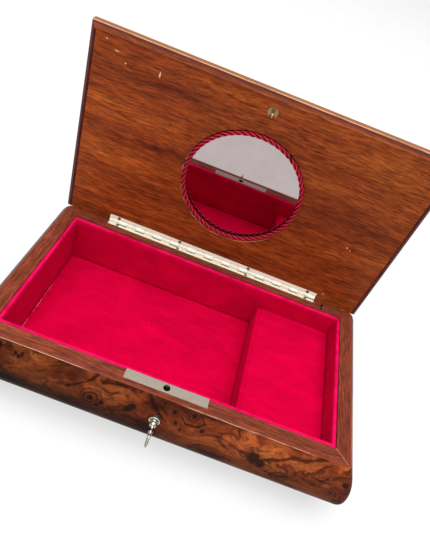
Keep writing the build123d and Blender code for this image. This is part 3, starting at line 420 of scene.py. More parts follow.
# Dark veins, as points x and z that the vein passes.
FRONT_VEINS = (
    ((-7, 48), (-4, 44), (-0.5, 40.5), (6, 36)),
    ((-52, 36), (-45, 41), (-38, 47)),
    ((66, 36.5), (73, 38), (80, 42), (89, 44), (99, 48)),
    ((95, 36), (101, 36.5), (104, 39.5)),
    ((70, 28), (78, 27), (83, 30)),
    ((14, 43), (17, 39.8), (23, 39.6), (27, 43)),
    ((-33.5, 44.6), (-28, 45.6), (-20, 47.2)),
    ((-32.5, 46), (-25, 47.2), (-12, 47.8)),
)
# Where the veneer's bare edge shows along the front of the rim: x from, x to and strength.
FRONT_EDGE = ((-116, -44, 0.80), (12, 90, 0.70))
EDGE_FADE = 4.0
EDGE_TONE = (0.66, 0.42, 0.28)
LID_BACK_Y = 120.3      # the base's veneer lies in front of this, the open lid's behind it
FAR = 50.0              # added to a distance where its feature is absent


def from_point(shader, place, x, z, radius):
    """Distance from a point on the front, as a share of a radius."""
    return shader.times(shader.vector("DISTANCE", place, (x * MM, 0, z * MM)), 1 / (radius * MM))


def from_run(shader, place, start, end):
    """Distance from a straight run on the front, in metres."""
    run = Vector((end[0] - start[0], 0, end[1] - start[1])) * MM
    offset = shader.vector("SUBTRACT", place, (start[0] * MM, 0, start[1] * MM))
    share = shader.vector("DOT_PRODUCT", offset, run / run.length_squared)
    share = shader.math("ADD", share, 0.0, clamp=True)
    return shader.vector("DISTANCE", offset, shader.vector("SCALE", run, share))


def front_figure(veneer, away):
    """Distances to the eyes, knots and veins of the front, with away added where it isn't the front."""
    bent = veneer.warped(6.0, 0.8, veneer.warped(15, 2.0, seed=1.3), seed=6.1)
    flat = veneer.vector("MULTIPLY", bent, (1, 0, 1))
    eyes = veneer.least(*(from_point(veneer, flat, *eye) for eye in FRONT_EYES))
    knots = veneer.least(*(from_point(veneer, flat, *knot) for knot in FRONT_KNOTS))
    runs = [run for vein in FRONT_VEINS for run in zip(vein, vein[1:])]
    veins = veneer.least(*(from_run(veneer, flat, *run) for run in runs))
    width = veneer.between(veneer.noise(veneer.scaled(even(9), even(0.7))), 0.38, 0.62, 0.5, 1.8)
    veins = veneer.math("DIVIDE", veneer.times(veins, 1 / MM), width)
    return [veneer.plus(distance, away) for distance in (eyes, knots, veins)]


def painted_foot_shade(veneer, base):
    """Veneer of the base under painted shade: darker down towards the foot, most of all at the left of the
    front, and darker to the left higher up as well.
    """
    x, y, z = veneer.parts()
    from_left = veneer.between(x, -70 * MM, 70 * MM, 0.08, 0.46)
    off_front = veneer.between(y, 0, 30 * MM, 0.0, 0.38)
    lower = veneer.most(from_left, off_front)
    upper = veneer.between(x, -70 * MM, 60 * MM, 0.57, 1.08)
    level = veneer.between(z, 24 * MM, 40 * MM, lower, upper)
    grey = veneer.nodes.new("ShaderNodeCombineColor")
    for socket in grey.inputs:
        veneer.feed(socket, level)
    on_base = veneer.math("LESS_THAN", z, 48.5 * MM)
    return veneer.mix(on_base, base, veneer.mix(1.0, base, grey.outputs[0], "MULTIPLY"))


def bare_edge(veneer, base):
    """Top edge of the base's veneer: wood of the rim, and a thin pale line along parts of its front."""
    x, y, z = veneer.parts(veneer.warped(12, 0.06))
    below_lid = veneer.math("LESS_THAN", y, LID_BACK_Y * MM)
    top = veneer.times(veneer.between(z, 47.84 * MM, 47.92 * MM), below_lid)
    base = veneer.mix(top, base, RIM_WOOD[1])
    stretches = []
    for start, end, strength in FRONT_EDGE:
        stretches.append(veneer.least(
            veneer.between(x, (start - EDGE_FADE) * MM, (start + EDGE_FADE) * MM, 0.0, strength),
            veneer.between(x, (end - EDGE_FADE) * MM, (end + EDGE_FADE) * MM, strength, 0.0),
        ))
    on_front = veneer.math("LESS_THAN", y, -4 * MM)
    worn = veneer.between(veneer.noise(veneer.scaled(even(8), even(2)), 3), 0.36, 0.52, 0.35, 1.0)
    shown = veneer.times(veneer.most(*stretches), on_front, worn)
    under = veneer.between(veneer.off(z, 47.35 * MM), 0.1 * MM, 0.4 * MM, 0.6, 0.0)
    base = veneer.mix(veneer.times(under, shown), base, BURL_SMOKE)
    pale = veneer.between(veneer.off(z, 47.80 * MM), 0.10 * MM, 0.20 * MM, 1.0, 0.0)
    return veneer.mix(veneer.times(pale, shown), base, EDGE_TONE)


def burl(name, shift=0.0):
    """Polished burl veneer: clouded orange-brown with smoky swirls, veins, knots and ringed eyes."""
    veneer = Shader(name, Specular_IOR_Level=0.02, Coat_Weight=0.055, Coat_Roughness=0.06)
    y = veneer.parts()[1]
    elsewhere = veneer.times(veneer.math("GREATER_THAN", y, 1 * MM), FAR)
    eyes, knots, veins = front_figure(veneer, elsewhere)
    broad = veneer.warped(36, 12.0, seed=shift)
    swirled = veneer.warped(12, 3.2, broad, seed=shift + 3)

    def figure(sizes, seed, detail=2.0, roughness=0.5, place=swirled):
        """Noise that follows the swirls of the burl."""
        return veneer.noise(veneer.scaled(sizes, even(shift + seed), place), detail, roughness)

    grit = figure(even(1.9), 1, 3, 0.65, veneer.place)
    ragged = veneer.times(veneer.minus(grit, 0.5), 0.9)

    # Eyes are strewn over the other faces, and the front keeps only its own.
    scatter = veneer.scaled((17, 17, 14), (shift, 0.3, 0.1), veneer.warped(12, 2.4, seed=shift + 5))
    chance = veneer.parts(veneer.cells(scatter, "Color"))
    stray = veneer.times(veneer.cells(scatter), veneer.between(chance[1], 0.0, 1.0, 4.0, 9.0))
    absent = veneer.plus(
        veneer.math("LESS_THAN", chance[0], 0.70), veneer.math("LESS_THAN", y, 0.0),
    )
    stray = veneer.plus(stray, veneer.times(absent, FAR))
    eyes = veneer.plus(veneer.least(eyes, stray), veneer.times(ragged, 0.22))
    knots = veneer.plus(knots, veneer.times(ragged, 0.8))
    veins = veneer.plus(veins, veneer.times(ragged, 0.7))

    clouds = figure((32, 32, 18), 0, 4, 0.55)
    field = veneer.plus(clouds, veneer.between(eyes, 0.0, 2.6, 0.18, 0.0))
    contour = veneer.between(veneer.math("SINE", veneer.times(field, 52.0)), 0.0, 1.0)
    patchy = veneer.between(figure((19, 19, 14), 8), 0.40, 0.62)
    smoke = veneer.between(figure((26, 26, 9), 11, 4, 0.6), 0.55, 0.70, 0.0, 0.75)
    base = veneer.ramp(clouds, *BURL_TONES)
    base = veneer.mix(veneer.times(contour, patchy, 0.75), base, BURL_SMOKE)
    base = veneer.mix(smoke, base, BURL_SMOKE)
    base = veneer.tinted(base, 0.75, figure((8, 8, 1.3), 0, 4, 0.6), 0.30, 0.42, 0.70, 1.45)
    base = veneer.tinted(base, 0.45, grit, 0.30, 0.55, 0.68, 1.32)
    specks = veneer.between(figure((1.5, 1.5, 1.0), 2), 0.64, 0.74)
    base = veneer.mix(veneer.times(specks, 0.5), base, BURL_BLACK)

    halo = veneer.least(veneer.times(eyes, 0.8), veneer.times(knots, 0.50))
    base = veneer.mix(veneer.between(halo, 0.4, 1.2, 0.50, 0.0), base, BURL_HALO)
    wobble = veneer.plus(veneer.times(eyes, 12.0), veneer.times(clouds, 9.0))
    rings = veneer.between(veneer.math("SINE", wobble), -0.1, 0.95)
    rings = veneer.times(rings, veneer.between(eyes, 0.7, 2.3, 0.85, 0.0))
    base = veneer.mix(rings, base, BURL_SMOKE)
    dark = veneer.most(
        veneer.between(eyes, 0.18, 0.46, 1.0, 0.0),
        veneer.between(knots, 0.70, 1.30, 1.0, 0.0),
        veneer.between(veins, 0.2, 1.3, 0.92, 0.0),
    )
    base = veneer.mix(veneer.times(dark, 0.92), base, BURL_BLACK)
    veneer.colour(bare_edge(veneer, painted_foot_shade(veneer, base)))
    veneer.rough(veneer.between(grit, 0.3, 0.7, 0.30, 0.42))
    veneer.bump(veneer.noise(veneer.scaled(even(22))), 0.10)
    return veneer


# ------------------------------------------------------------------ velvet
VELVET_TONES = ((0.495, 0.0004, 0.0335), (0.615, 0.0006, 0.0425))
LIP_TONES = ((0.53, 0.002, 0.055), (0.84, 0.006, 0.105))
LINT_TONE = (0.80, 0.35, 0.40)
# Painted highlight along the seam at the left end of the floor: x and the middle's y.
SEAM_LINE = (-100.4, 44.0)
SEAM_HIGHLIGHT_TONE = (0.78, 0.20, 0.26)


def splayed_lip_and_sheen(cloth, base):
    """Brighter pile towards a wall's top edge: partly pile splayed over the rolled edge, partly painted
    sheen where the edge catches the light, already brightening a little up the wall.
    """
    height = cloth.parts()[2]
    fading = cloth.between(height, 43 * MM, 47.2 * MM, 0.0, 0.35)
    edge = cloth.most(fading, cloth.between(height, 46.3 * MM, 47.3 * MM))
    # Noise that varies the brighter edge, its splayed pile and its painted sheen alike.
    worn = cloth.noise(cloth.scaled((7, 7, 3)), 3)
    return cloth.mix(edge, base, cloth.ramp(worn, (0.3, LIP_TONES[0]), (0.7, LIP_TONES[1])))


def seam_highlight(cloth, base):
    """Broken painted highlight that lies along the seam at the floor's left end."""
    x, y, _ = cloth.parts(cloth.warped(4, 0.35))
    thread = cloth.between(cloth.off(x, SEAM_LINE[0] * MM), 0.15 * MM, 0.50 * MM, 0.5, 0.0)
    run = cloth.between(cloth.off(y, SEAM_LINE[1] * MM), 24 * MM, 32 * MM, 1.0, 0.0)
    broken = cloth.between(cloth.noise(cloth.scaled(even(5)), 3), 0.46, 0.56)
    return cloth.mix(cloth.times(thread, run, broken), base, SEAM_HIGHLIGHT_TONE)


def velvet(name, detail, shift=0.0):
    """Crimson cotton velvet: brushed patches, a fine pile, lint specks and one more detail."""
    cloth = Shader(
        name, Roughness=1.0, Specular_IOR_Level=0.0, Sheen_Weight=0.10, Sheen_Roughness=0.4,
        Sheen_Tint=(1.0, 0.03, 0.30, 1.0),
    )
    brushed = cloth.noise(cloth.scaled((34, 24, 26), even(shift)), 3, 0.55, 0.8)
    strokes = cloth.noise(cloth.scaled((16, 3.2, 9), even(shift), cloth.warped(20, 5.0)))
    pile = cloth.noise(cloth.scaled(even(0.5)), 2, 0.6)
    base = cloth.ramp(brushed, (0.3, VELVET_TONES[0]), (0.7, VELVET_TONES[1]))
    base = cloth.tinted(base, 0.30, strokes, 0.3, 0.72, 0.7, 1.20)
    base = detail(cloth, base)
    base = cloth.tinted(base, 0.35, pile, 0.3, 0.6, 0.7, 1.3)
    lint = cloth.scaled(even(11), even(0.3), cloth.warped(1.5, 0.5))
    fleck = cloth.between(cloth.cells(lint), 0.018, 0.032, 1.0, 0.0)
    kept = cloth.math("GREATER_THAN", cloth.parts(cloth.cells(lint, "Color"))[0], 0.72)
    cloth.colour(cloth.mix(cloth.times(fleck, kept, 0.55), base, LINT_TONE))
    cloth.bump(pile, 0.14)
    return cloth


# ------------------------------------------------------------------ metals and the rest
# The bushing's face inside this radius, and its side, are painted dark as shade.
BUSHING_SOCKET = 2.65   # radius inside which the bushing's face is dark
BUSHING_PAINTED_SHADE = (0.050, 0.030, 0.022)
MIRROR_TONES = ((0.435, 0.372, 0.372), (0.470, 0.402, 0.402))


def metal(name, colour, rough, brush_axis="X", worn=None, metallic=1.0):
    """Metal with fine brushing along one axis and slight tarnish."""
    piece = Shader(name, Metallic=metallic)
    brush = piece.noise(piece.scaled(along(brush_axis, 9, 0.16)), 3, 0.6)
    stain = piece.noise(piece.scaled(even(3.5)), 4, 0.6)
    worn = worn or [0.62 * c for c in colour]
    piece.colour(piece.mix(piece.between(stain, 0.52, 0.72), colour, worn))
    piece.rough(piece.math("ADD", piece.times(brush, 0.22), rough - 0.11, clamp=True))
    piece.bump(brush, 0.01)
    return piece


def bushing():
    """Bushing round the key: a bright turned edge on its face, and painted shade over its socket and its
    side.
    """
    piece = metal(
        "bushing_nickel", (0.66, 0.63, 0.57), 0.45, "Z", [0.45, 0.42, 0.36], metallic=0.5,
    )
    low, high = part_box("keyhole_bushing")
    middle = (low + high) / 2
    flat = piece.vector("MULTIPLY", piece.place, (1, 0, 1))
    out = piece.vector("DISTANCE", flat, (middle.x, 0, middle.z))
    edge = piece.between(out, (BUSHING_SOCKET - 0.1) * MM, (BUSHING_SOCKET + 0.1) * MM)
    front = piece.between(piece.parts()[1], low.y + 0.25 * MM, low.y + 0.5 * MM, 1.0, 0.0)
    shine = piece.surface.inputs["Base Color"].links[0].from_socket
    piece.colour(piece.mix(piece.times(edge, front), BUSHING_PAINTED_SHADE, shine))
    return piece


def plain(name, low, high, rough):
    """Dull material whose colour wanders between two tones."""
    piece = Shader(name)
    tone = piece.noise(piece.scaled(even(6)), 4, 0.6)
    piece.colour(piece.ramp(tone, (0.3, low), (0.7, high)))
    piece.rough(piece.between(tone, 0.3, 0.7, rough - 0.05, rough + 0.05))
    piece.bump(piece.noise(piece.scaled(even(0.4))), 0.03)
    return piece


def silvered():
    """Old mirror glass whose silvering is slightly uneven."""
    glass = Shader("mirror_silver", Metallic=1.0)
    tone = glass.noise(glass.scaled(even(9)), 4)
    glass.colour(glass.ramp(tone, (0.3, MIRROR_TONES[0]), (0.7, MIRROR_TONES[1])))
    glass.rough(0.02)
    return glass


def silk():
    """Lustrous red cord, with painted shade in the grooves between its strands."""
    thread = Shader(
        "cord_silk", Roughness=0.5, Specular_IOR_Level=0.12, Subsurface_Weight=0.5,
        Subsurface_Radius=(1.0, 0.25, 0.25), Subsurface_Scale=1.5 * MM,
    )
    crest = thread.nodes.new("ShaderNodeAttribute")
    crest.attribute_name = "crest"
    fine = thread.noise(thread.scaled(even(0.35)), 3, 0.6)
    height = thread.plus(crest.outputs["Fac"], thread.times(thread.minus(fine, 0.5), 0.4))
    thread.colour(thread.ramp(
        height, (0.66, (0.034, 0.001, 0.004)), (0.86, (0.27, 0.003, 0.018)),
        (1.00, (0.55, 0.018, 0.050)),
    ))
    thread.bump(fine, 0.06)
    return thread


def dress(shader, *names):
    """Gives CAD nodes a material."""
    for name in names:
        slots = nodes[name].data.materials
        slots.clear()
        slots.append(shader.material)


def add_piece(name, mesh, shader, body, slot, *replaced):
    """Links a finished mesh as a piece that rides on a body and stands for CAD nodes."""
    piece = bpy.data.objects.new(name, mesh)
    scene.collection.objects.link(piece)
    mesh.materials.append(shader.material)
    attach(piece, body)
    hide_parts(*replaced)
    return piece


# ------------------------------------------------------------------ mesh building, in millimetres
def node_box(name):
    """Lowest and highest corner of a CAD node, in millimetres."""
    low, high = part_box(name)
    return low / MM, high / MM


def new_mesh(name, points, faces):
    mesh = bpy.data.meshes.new(name)
    mesh.from_pydata([Vector(point) * MM for point in points], [], faces)
    work = bmesh.new()
    work.from_mesh(mesh)
    bmesh.ops.recalc_face_normals(work, faces=work.faces)
    work.to_mesh(mesh)
    work.free()
    mesh.shade_smooth()
    return mesh


def angles(count):
    """Equal steps round a full turn."""
    return [2 * math.pi * step / count for step in range(count)]


def skin(rings, closed=False):
    """Points and faces of a tube through rings of points, its ends capped unless it is closed."""
    count = len(rings[0])
    points = [point for ring in rings for point in ring]
    faces = []
    for ring in range(len(rings) if closed else len(rings) - 1):
        here, there = ring * count, (ring + 1) % len(rings) * count
        for step in range(count):
            after = (step + 1) % count
            faces.append((here + step, here + after, there + after, there + step))
    if not closed:
        faces.append(tuple(reversed(range(count))))
        faces.append(tuple(range(len(points) - count, len(points))))
    return points, faces


def join(*shells):
    """Points and faces of several shells as one mesh."""
    points, faces = [], []
    for more_points, more_faces in shells:
        faces += [tuple(index + len(points) for index in face) for face in more_faces]
        points += more_points
    return points, faces


def spaced(length, step, ends=(0.0, 0.12, 0.4, 0.9, 1.6)):
    """Distances along a length, closer together at both ends."""
    count = round((length - 2 * ends[-1]) / step)
    inner = [ends[-1] + (length - 2 * ends[-1]) * index / count for index in range(1, count)]
    return [*ends, *inner, *(length - end for end in reversed(ends))]


def ripple(x, y, z, size):
    """Smooth noise from -1 to 1."""
    return noise.noise(Vector((x, y, z)) / size)


def ease(value, low, high):
    """Smooth step from 0 to 1 as the value goes from low to high."""
    share = min(max((value - low) / (high - low), 0.0), 1.0)
    return share * share * (3 - 2 * share)


def rolled(distance, radius=1.0):
    """How far a rolled edge has dropped at this distance from its rim."""
    inside = 1 - min(distance / radius, 1.0)
    return radius * (1 - math.sqrt(1 - inside * inside))


# ------------------------------------------------------------------ velvet linings
LIP = 1.25              # radius of the rolled top edge
LIP_STEPS = 8
LINING_BACK = 0.12      # from the wall
LINING_FACE = 2.65      # from the wall
FACE_STEPS = 12
ROLL_Z = 46.75
LINING_STEP = 2.4       # spacing of the mesh along a wall
PLATE_X = 0.3           # the lock plate's middle
PLATE_HALF = 25.4       # the lock plate lies over the front lining's outer edge
PLATE_BESIDE = (-0.3, 0.1, 0.5, 0.9, 1.4)
PLATE_RELIEF = 0.97
PAD_STEP = 2.6          # spacing of the mesh over the floor and the cover
FLOOR_GAP = 0.05
FLOOR_EDGE = (0.0, 0.05, 0.15, 0.4, 1.6)
FLOOR_ROLL = 0.4
COVER_GAP = 0.1


def lining_section():
    """Outline of a wall lining: distance from the wall, height and how freely it ripples."""
    floor = node_box("bottom_panel")[1].z
    outline = [(LINING_BACK, height, 0.0) for height in (floor + 0.1, 20, 30, 38, 44)]
    for step in range(LIP_STEPS + 1):
        turn = math.pi * (1 - step / LIP_STEPS)
        outline.append((0.1 + LIP * (1 + math.cos(turn)), ROLL_Z + LIP * math.sin(turn), 0.0))
    for step in range(1, FACE_STEPS + 1):
        height = ROLL_Z + (floor + 0.2 - ROLL_Z) * step / FACE_STEPS
        outline.append((LINING_FACE, height, math.sin(math.pi * step / FACE_STEPS)))
    return outline


def under_plate(depth, height, x):
    """Depth of the front lining, squeezed back where the lock plate lies over it."""
    beside = ease(abs(x - PLATE_X), PLATE_HALF, PLATE_HALF + 1.2)
    above = ease(height, 45.2, 46.4)
    squeezed = PLATE_RELIEF + depth * (LINING_FACE - PLATE_RELIEF) / LINING_FACE
    return depth + (squeezed - depth) * above * (1 - beside)


def wall_lining(name, node, start, run, inward):
    """Velvet over card on one wall: flat behind, rolled over the top, mitred at both ends."""
    length = run.length
    run = run.normalized()
    outline = lining_section()
    stops = spaced(length, LINING_STEP)
    if node == "lining_front":
        middle = length / 2 + PLATE_X
        stops += [middle + side * (PLATE_HALF + more) for side in (-1, 1) for more in PLATE_BESIDE]
    rings = []
    for share in sorted(stop / length for stop in stops):
        ring = []
        for depth, height, free in outline:
            mitre = depth + 0.03
            place = start + run * (mitre + (length - 2 * mitre) * share)
            give = 0.5 + 0.5 * ripple(place.x, place.y, height * 0.6, 17.0)
            crease = max(0.0, ripple(place.x * 1.6, place.y * 1.6, height * 0.22, 5.0))
            depth -= free * (0.30 * give + 0.16 * crease)
            crest = ease(height, ROLL_Z, ROLL_Z + LIP)
            height += 0.14 * crest * ripple(place.x, place.y, 3.0, 9.0)
            if node == "lining_front":
                depth = under_plate(depth, height, place.x)
            point = place + inward * depth
            ring.append((point.x, point.y, height))
        rings.append(ring)
    piece = add_piece(name, new_mesh(name, *skin(rings)), crimson_lip, "base", "velvet", node)


def wall_linings():
    """The four wall linings, each from one corner of the box to the next."""
    low = node_box("lining_front")[0]
    high = node_box("lining_back")[1]
    places = ((low.x, low.y), (high.x, low.y), (high.x, high.y), (low.x, high.y))
    corners = [Vector((x, y, 0)) for x, y in places]
    for index, side in enumerate(("front", "right", "back", "left")):
        run = corners[(index + 1) % 4] - corners[index]
        inward = Vector((-run.y, run.x, 0)).normalized()
        wall_lining(f"{side}_wall_velvet", f"lining_{side}", corners[index], run, inward)


def floor_pad():
    """Padded floor of the main compartment, crowned a little and turned down along its edges."""
    low, high = node_box("lining_floor")
    columns = spaced(high.x - low.x - 2 * FLOOR_GAP, PAD_STEP, FLOOR_EDGE)
    rows = spaced(high.y - low.y - 2 * FLOOR_GAP, PAD_STEP, FLOOR_EDGE)
    top, bottom = [], []
    for across in rows:
        for along_x in columns:
            x, y = low.x + FLOOR_GAP + along_x, low.y + FLOOR_GAP + across
            edge = min(along_x, columns[-1] - along_x, across, rows[-1] - across)
            crown = 0.42 * ease(edge, 0.0, 22.0)
            quilt = 0.16 * ripple(x, y, 0.0, 24.0) + 0.07 * ripple(x, y, 5.0, 8.0)
            z = high.z + crown + quilt * ease(edge, 0.0, 6.0) - rolled(edge, FLOOR_ROLL)
            top.append((x, y, z))
            bottom.append((x, y, low.z + 0.08))
    wide, deep, half = len(columns), len(rows), len(top)
    faces = []
    for row in range(deep - 1):
        for column in range(wide - 1):
            corner = row * wide + column
            quad = (corner, corner + 1, corner + wide + 1, corner + wide)
            faces.append(quad)
            faces.append(tuple(half + index for index in reversed(quad)))
    rim = [*range(wide), *range(2 * wide - 1, half, wide)]
    rim += [*range(half - 2, half - wide - 1, -1), *range(half - 2 * wide, 0, -wide)]
    for here, there in zip(rim, rim[1:] + rim[:1]):
        faces.append((here, there, there + half, here + half))
    mesh = new_mesh("floor_velvet", top + bottom, faces)
    add_piece("floor_velvet", mesh, crimson, "base", "velvet", "lining_floor")


def wrapped_cover():
    """Velvet over the partition and the music compartment's cover, with a groove where the two meet."""
    wall_low, wall_high = node_box("compartment_wall")
    low, high = node_box("compartment_cover")
    left, right, groove = wall_low.x + 0.05, high.x - 0.06, wall_high.x - 0.05
    length = high.y - low.y - 2 * COVER_GAP
    rings = []
    for distance in spaced(length, PAD_STEP):
        y = low.y + COVER_GAP + distance
        end = min(distance, length - distance)
        drop = rolled(end)
        level = high.z - drop
        ring = [(left + drop, wall_low.z + 0.1 + 2.9 * step) for step in range(7)]
        for step in range(6):
            turn = math.pi * (1 - step / 7)
            x = left + 1.2 + (1.15 - drop / 2) * math.cos(turn)
            ring.append((x, level - 1.35 + 1.15 * math.sin(turn)))
        ring += [(groove, level - 0.85), (groove + 0.35, level - 0.30), (groove + 1.0, level)]
        for step in range(22):
            x = groove + 2.2 + (right - groove - 3.6) * step / 21
            edge = min(x - groove, right - x, end)
            quilt = 0.14 * ripple(x, y, 9.0, 17.0) + 0.06 * ripple(x, y, 2.0, 6.0)
            ring.append((x, level + 0.40 * ease(edge, 0.0, 14.0) + quilt * ease(edge, 0.0, 5.0)))
        ring += [(right - 0.7, level - 0.05), (right - 0.2, level - 0.45)]
        ring += [(right, high.z - 1.1 - drop / 2), (right, low.z + 0.06)]
        ring += [(right + (groove - right) * step / 8, low.z + 0.06) for step in range(1, 8)]
        ring += [(groove, low.z + 0.06 + (wall_low.z - low.z) * step / 6) for step in range(7)]
        rings.append([(x, y, z) for x, z in ring])
    piece = add_piece(
        "cover_velvet", new_mesh("cover_velvet", *skin(rings)), crimson, "base", "velvet",
        "compartment_wall", "compartment_cover",
    )


# ------------------------------------------------------------------ twisted cord round the mirror
CORD_STRANDS = 3
CORD_TURNS = 19
CORD_OUTER = 40.7
CORD_STEPS = 22         # mesh steps for each turn
STRAND_SIDES = 10
STRAND_RADIUS = 0.70
STRAND_OFFSET = 0.74    # from the middle of the cord
CORD_JOIN = math.radians(58)
JOIN_PINCH = 0.28       # how much the cord narrows where its ends meet


def mirror_rope(shader):
    """Three silk strands twisted into a ring that is glued round the mirror."""
    low, high = node_box("mirror_cord")
    middle = (low + high) / 2
    thickness = STRAND_OFFSET + STRAND_RADIUS
    radius = CORD_OUTER - thickness
    steps = CORD_TURNS * CORD_STEPS
    shells = []
    for strand in range(CORD_STRANDS):
        path = []
        for angle in angles(steps):
            twist = CORD_TURNS * angle + 2 * math.pi * strand / CORD_STRANDS
            away = abs((angle - CORD_JOIN + math.pi) % (2 * math.pi) - math.pi) * radius
            pinch = 1 - JOIN_PINCH * (1 - ease(away, 0.2, 1.8))
            offset = STRAND_OFFSET * pinch
            outward = Vector((math.cos(angle), 0, math.sin(angle)))
            point = middle + outward * (radius + offset * math.cos(twist))
            point.y += offset * math.sin(twist)
            path.append((point, outward, STRAND_RADIUS * pinch))
        rings = []
        for step, (point, outward, size) in enumerate(path):
            ahead = (path[(step + 1) % steps][0] - path[step - 1][0]).normalized()
            side = (outward - ahead * outward.dot(ahead)).normalized()
            other = ahead.cross(side)
            rings.append([
                tuple(point + size * (math.cos(turn) * side + math.sin(turn) * other))
                for turn in angles(STRAND_SIDES)
            ])
        shells.append(skin(rings, closed=True))
    points, faces = join(*shells)
    mesh = new_mesh("mirror_rope", points, faces)
    # How far each point lies out from the cord's middle: the silk turns it into painted shade in the
    # grooves.
    crest = mesh.attributes.new("crest", "FLOAT", "POINT")
    for value, point in zip(crest.data, points):
        out = Vector(point) - middle
        value.value = math.hypot(math.hypot(out.x, out.z) - radius, out.y) / thickness
    add_piece("mirror_rope", mesh, shader, "lid", "cord", "mirror_cord")


# ------------------------------------------------------------------ key
# The turned shank from inside the lock outwards: y and radius.
KEY_PROFILE = (
    (1.5, 0.6), (1.5, 1.2), (1.2, 1.5), (-14.33, 1.5), (-14.36, 2.1), (-14.5, 2.32), (-15.1, 2.32),
    (-15.25, 1.95), (-15.4, 1.95), (-15.55, 2.2), (-16.6, 2.2), (-17.4, 1.95), (-17.9, 1.6),
    (-18.1, 1.25), (-18.3, 1.15), (-20.8, 0.95), (-21.0, 1.2), (-21.3, 1.3), (-21.6, 1.1),
    (-21.8, 0.8), (-22.0, 1.1), (-22.3, 1.22), (-22.6, 1.05), (-22.8, 0.78), (-23.0, 1.0),
    (-23.3, 1.15), (-23.6, 1.0), (-23.8, 0.75), (-24.6, 0.75),
)
KEY_SIDES = 28
# The bow's rings, in the plane of the bow: y, height, ring radius and wire radius.
KEY_BOW = ((-26.3, 2.35, 1.75, 0.68), (-26.3, -2.35, 1.75, 0.68), (-28.2, 0.0, 1.55, 0.68))
RING_STEPS = 24
WIRE_SIDES = 10
WIRE_WIDTH = 1.15       # width of the wire over its thickness
# Beads on the bow: y, height and radius.
KEY_BEADS = (
    (-25.9, 0.0, 0.95), (-30.1, 0.0, 0.6), (-28.5, 2.7, 0.75), (-28.5, -2.7, 0.75),
    (-24.3, 1.5, 0.7), (-24.3, -1.5, 0.7),
)
# Outline of the bit, y and height, and half its thickness.
KEY_BIT = (
    (-3.2, -1.0), (-3.2, -2.6), (-1.9, -2.6), (-1.9, -2.0), (-1.2, -2.0), (-1.2, -2.6), (1.3, -2.6),
    (1.3, -1.0),
)
BIT_HALF = 0.6


def ball(centre, radius, rings=8, sides=12):
    """Points and faces of a bead."""
    bands = []
    for ring in range(rings + 1):
        tilt = math.pi * (0.03 + 0.94 * ring / rings)
        out, lift = radius * math.sin(tilt), radius * math.cos(tilt)
        bands.append([
            (centre[0] + out * math.cos(turn), centre[1] + out * math.sin(turn), centre[2] + lift)
            for turn in angles(sides)
        ])
    return skin(bands)


def bow_ring(x, y, z, radius, wire):
    """Points and faces of one cast ring of the bow, which stands in the plane across x."""
    section = [
        (WIRE_WIDTH * wire * math.sin(turn), radius + wire * math.cos(turn)) for turn in angles(WIRE_SIDES)
    ]
    rings = [
        [(x + lift, y + out * math.cos(turn), z + out * math.sin(turn)) for lift, out in section]
        for turn in angles(RING_STEPS)
    ]
    return skin(rings, closed=True)


def lock_key(shader):
    """Turned shank with a ringed collar, and a cast bow of three loops with beads between them."""
    low, high = node_box("keyhole_bushing")
    x, z = (low.x + high.x) / 2, (low.z + high.z) / 2
    turns = angles(KEY_SIDES)
    shank = [[(x + r * math.cos(a), y, z + r * math.sin(a)) for a in turns] for y, r in KEY_PROFILE]
    shells = [skin(shank)]
    shells += [bow_ring(x, y, z + height, radius, wire) for y, height, radius, wire in KEY_BOW]
    shells += [ball((x, y, z + height), radius) for y, height, radius in KEY_BEADS]
    bit = [[(x + side * BIT_HALF, y, z + height) for y, height in KEY_BIT] for side in (-1, 1)]
    shells.append(skin(bit))
    add_piece("lock_key", new_mesh("lock_key", *join(*shells)), shader, "lock_key", "nickel", "key")


# ------------------------------------------------------------------ making
place_camera()
build_studio()

dress(
    mahogany("mahogany_rim_length", "X", RIM_WOOD, 0.0, figure=0.70, finish=rimmed),
    "front_wall", "back_wall",
)
dress(
    mahogany("mahogany_rim_depth", "Y", RIM_WOOD, 2.0, figure=0.70, finish=rimmed),
    "left_wall", "right_wall",
)
dress(mahogany("mahogany_lid", "X", LID_WOOD, 5.0, figure=0.70, finish=nicked), "lid_panel")
dress(mahogany("mahogany_lid_front", "X", LID_WOOD, 5.0, figure=0.62, finish=lidded), "lid_edge_front")
dress(mahogany("mahogany_lid_rear", "X", LID_WOOD, 5.0, figure=0.62), "lid_edge_rear")
dress(mahogany("mahogany_lid_side", "Z", LID_SIDE_SHADE_WOOD, 7.0, gloss=0.60), "lid_edge_left", "lid_edge_right")
dress(
    burl("burl_walnut", 1.7),
    "front_veneer", "back_veneer", "left_veneer", "right_veneer", "lid_veneer_border", "lid_veneer_field",
)

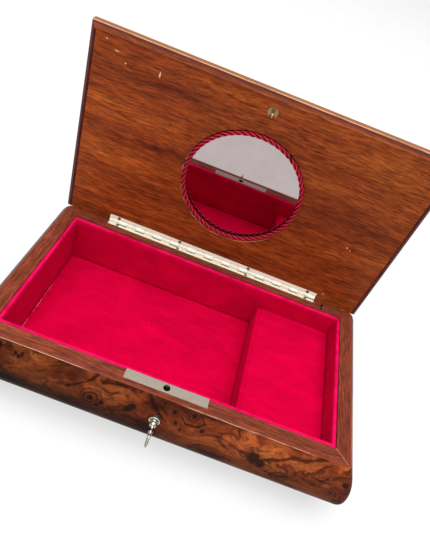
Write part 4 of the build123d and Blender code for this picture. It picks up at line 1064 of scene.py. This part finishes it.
crimson = velvet("crimson_velvet", seam_highlight)
crimson_lip = velvet("crimson_velvet_wall", splayed_lip_and_sheen, shift=3.0)
wall_linings()
floor_pad()
wrapped_cover()

dress(plain("boxwood", (0.55, 0.36, 0.15), (0.68, 0.46, 0.22), 0.4), "lid_stringing")
dress(plain("plywood", (0.34, 0.22, 0.12), (0.45, 0.31, 0.18), 0.7), "bottom_panel", "cover_battens")
dress(plain("grey_card", (0.25, 0.23, 0.2), (0.33, 0.3, 0.27), 0.8), "mirror_backing")
dress(silvered(), "mirror_glass")
mirror_rope(silk())

dress(
    metal("satin_nickel_plate", (0.262, 0.230, 0.192), 0.48, worn=(0.235, 0.205, 0.172)),
    "lock_faceplate", "lock_case", "lock_bolt", "lock_hub",
)
dress(
    metal("cream_plate", (0.82, 0.78, 0.65), 0.48, worn=(0.70, 0.65, 0.52), metallic=0.25),
    "base_leaf",
)
# The lid's leaf is the same plate as the base's, made paler and less metallic as painted light on its
# upright face.
dress(
    metal("cream_plate_lid_painted_light", (0.97, 0.94, 0.80), 0.50, worn=(0.88, 0.84, 0.68), metallic=0.08),
    "lid_leaf",
)
dress(metal("steel", (0.34, 0.31, 0.27), 0.35), "hinge_pin", "base_leaf_screws", "lid_leaf_screws")
dress(bushing(), "keyhole_bushing")
lock_key(metal("nickel", (0.46, 0.43, 0.38), 0.22, "Y", worn=(0.20, 0.18, 0.15)))
dress(metal("aged_brass", (0.30, 0.21, 0.10), 0.34, "Y"), "strike_stud", "strike_rosette")

dress(
    metal("movement_brass", (0.62, 0.42, 0.16), 0.3),
    "spring_barrel", "cylinder", "cylinder_pinion", "drive_gear", "governor_wheel", "comb_base",
    "governor_frame",
)
dress(
    metal("movement_steel", (0.5, 0.5, 0.5), 0.28),
    "mainspring", "winding_arbor", "cylinder_arbor", "governor_fly", "comb", "comb_screws",
    "movement_screws", "winding_key",
)
dress(metal("dark_steel", (0.10, 0.08, 0.07), 0.4), "stop_lever")
dress(metal("zinc", (0.42, 0.42, 0.42), 0.4), "movement_bedplate")
